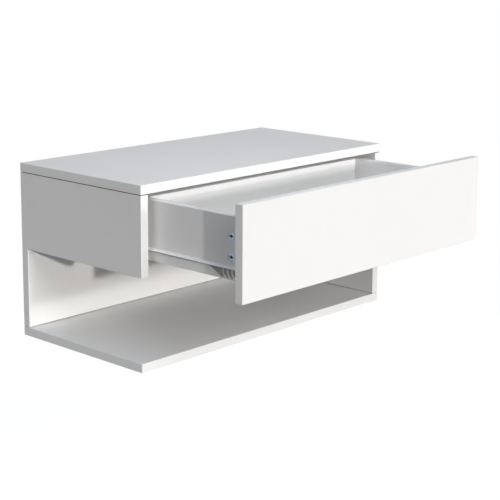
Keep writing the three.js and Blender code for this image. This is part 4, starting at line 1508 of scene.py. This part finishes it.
# %% [markdown]
# The rollers are moulded in nylon and turn on riveted pins. Each has a dished face with a ring
# round the pin's head and a slightly crowned rim. They are bored, so their profile closes on
# itself and not on the axis. Every roller moves on its own, and so is a piece of its own.

# %% Rollers
ROLLER_WIDTH = 5.5 * MM
PIN_RADIUS = 2.2 * MM
PIN_HEAD = 3.6 * MM
PIN_HEAD_LENGTH = 1.0 * MM
PIN_COLLAR = 3.8 * MM
COLLAR_LENGTH = 0.5 * MM
HUB_WALL = 1.1 * MM
RIM_WALL = 1.3 * MM
DISH_DEPTH = 0.9 * MM
CROWN = 0.6 * MM
SMALL_ROUND = 0.2 * MM


def make_roller(node):
    low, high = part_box(node)
    radius = (high.z - low.z) / 2
    bore, room = PIN_RADIUS + GAP, PIN_HEAD + GAP
    hub, rim = room + HUB_WALL, radius - RIM_WALL
    recess = -PIN_HEAD_LENGTH - GAP
    profile = [
        (bore, -ROLLER_WIDTH), (radius - CROWN, -ROLLER_WIDTH),
        (radius - 0.3 * CROWN, -ROLLER_WIDTH + 0.3 * CROWN), (radius, -ROLLER_WIDTH + CROWN),
        (radius, -CROWN), (radius - 0.3 * CROWN, -0.3 * CROWN),
        (radius - CROWN, 0), (rim + SMALL_ROUND, 0), (rim, -SMALL_ROUND),
        (rim - 0.15 * MM, -DISH_DEPTH + SMALL_ROUND), (rim - 0.15 * MM - SMALL_ROUND, -DISH_DEPTH),
        (hub + 0.1 * MM + SMALL_ROUND, -DISH_DEPTH), (hub + 0.1 * MM, -DISH_DEPTH + SMALL_ROUND),
        (hub, -SMALL_ROUND), (hub - SMALL_ROUND, 0), (room + SMALL_ROUND, 0), (room, -SMALL_ROUND),
        (room, recess), (bore, recess),
    ]
    wheel = placed(turned(profile, 64, bored=True), *place_of(node))
    set_up(add_mesh(node.replace("roller", "wheel"), wheel, NYLON), [node])


for node in nodes_of("front_roller", "rear_roller"):
    if "pin" not in node:
        make_roller(node)

# %% [markdown]
# A pin has a collar behind its roller and a riveted head, dimpled by the tool that closed it. The
# pins stay with the runner that they are riveted to, so they are pieces of the cabinet and of
# the drawer, and not of the rollers.

# %% Roller pins
def pin_pattern(node):
    low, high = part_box(node)
    length = high.x - low.x
    head_foot = -PIN_HEAD_LENGTH
    collar_head = -ROLLER_WIDTH - GAP
    profile = [
        (0, -length), (PIN_RADIUS - SMALL_ROUND, -length), (PIN_RADIUS, -length + SMALL_ROUND),
        (PIN_RADIUS, collar_head - COLLAR_LENGTH), (PIN_COLLAR, collar_head - COLLAR_LENGTH),
        (PIN_COLLAR, collar_head), (PIN_RADIUS, collar_head), (PIN_RADIUS, head_foot),
        (PIN_HEAD - SMALL_ROUND, head_foot), (PIN_HEAD, head_foot + SMALL_ROUND), (PIN_HEAD, -0.4 * MM),
        (PIN_HEAD * 0.93, -0.15 * MM), (PIN_HEAD * 0.75, 0), (PIN_HEAD * 0.45, 0),
        (PIN_HEAD * 0.3, -0.25 * MM), (0, -0.3 * MM),
    ]
    return add_mesh("pin_pattern", turned(profile, 36), PLATED)


for start in ("front_roller_pin", "rear_roller_pin"):
    pins = nodes_of(start)
    pattern = pin_pattern(pins[0])
    set_pattern(f"{start}s", pattern, PLATED, pins, [place_of(pin) for pin in pins])
    bpy.data.objects.remove(pattern)
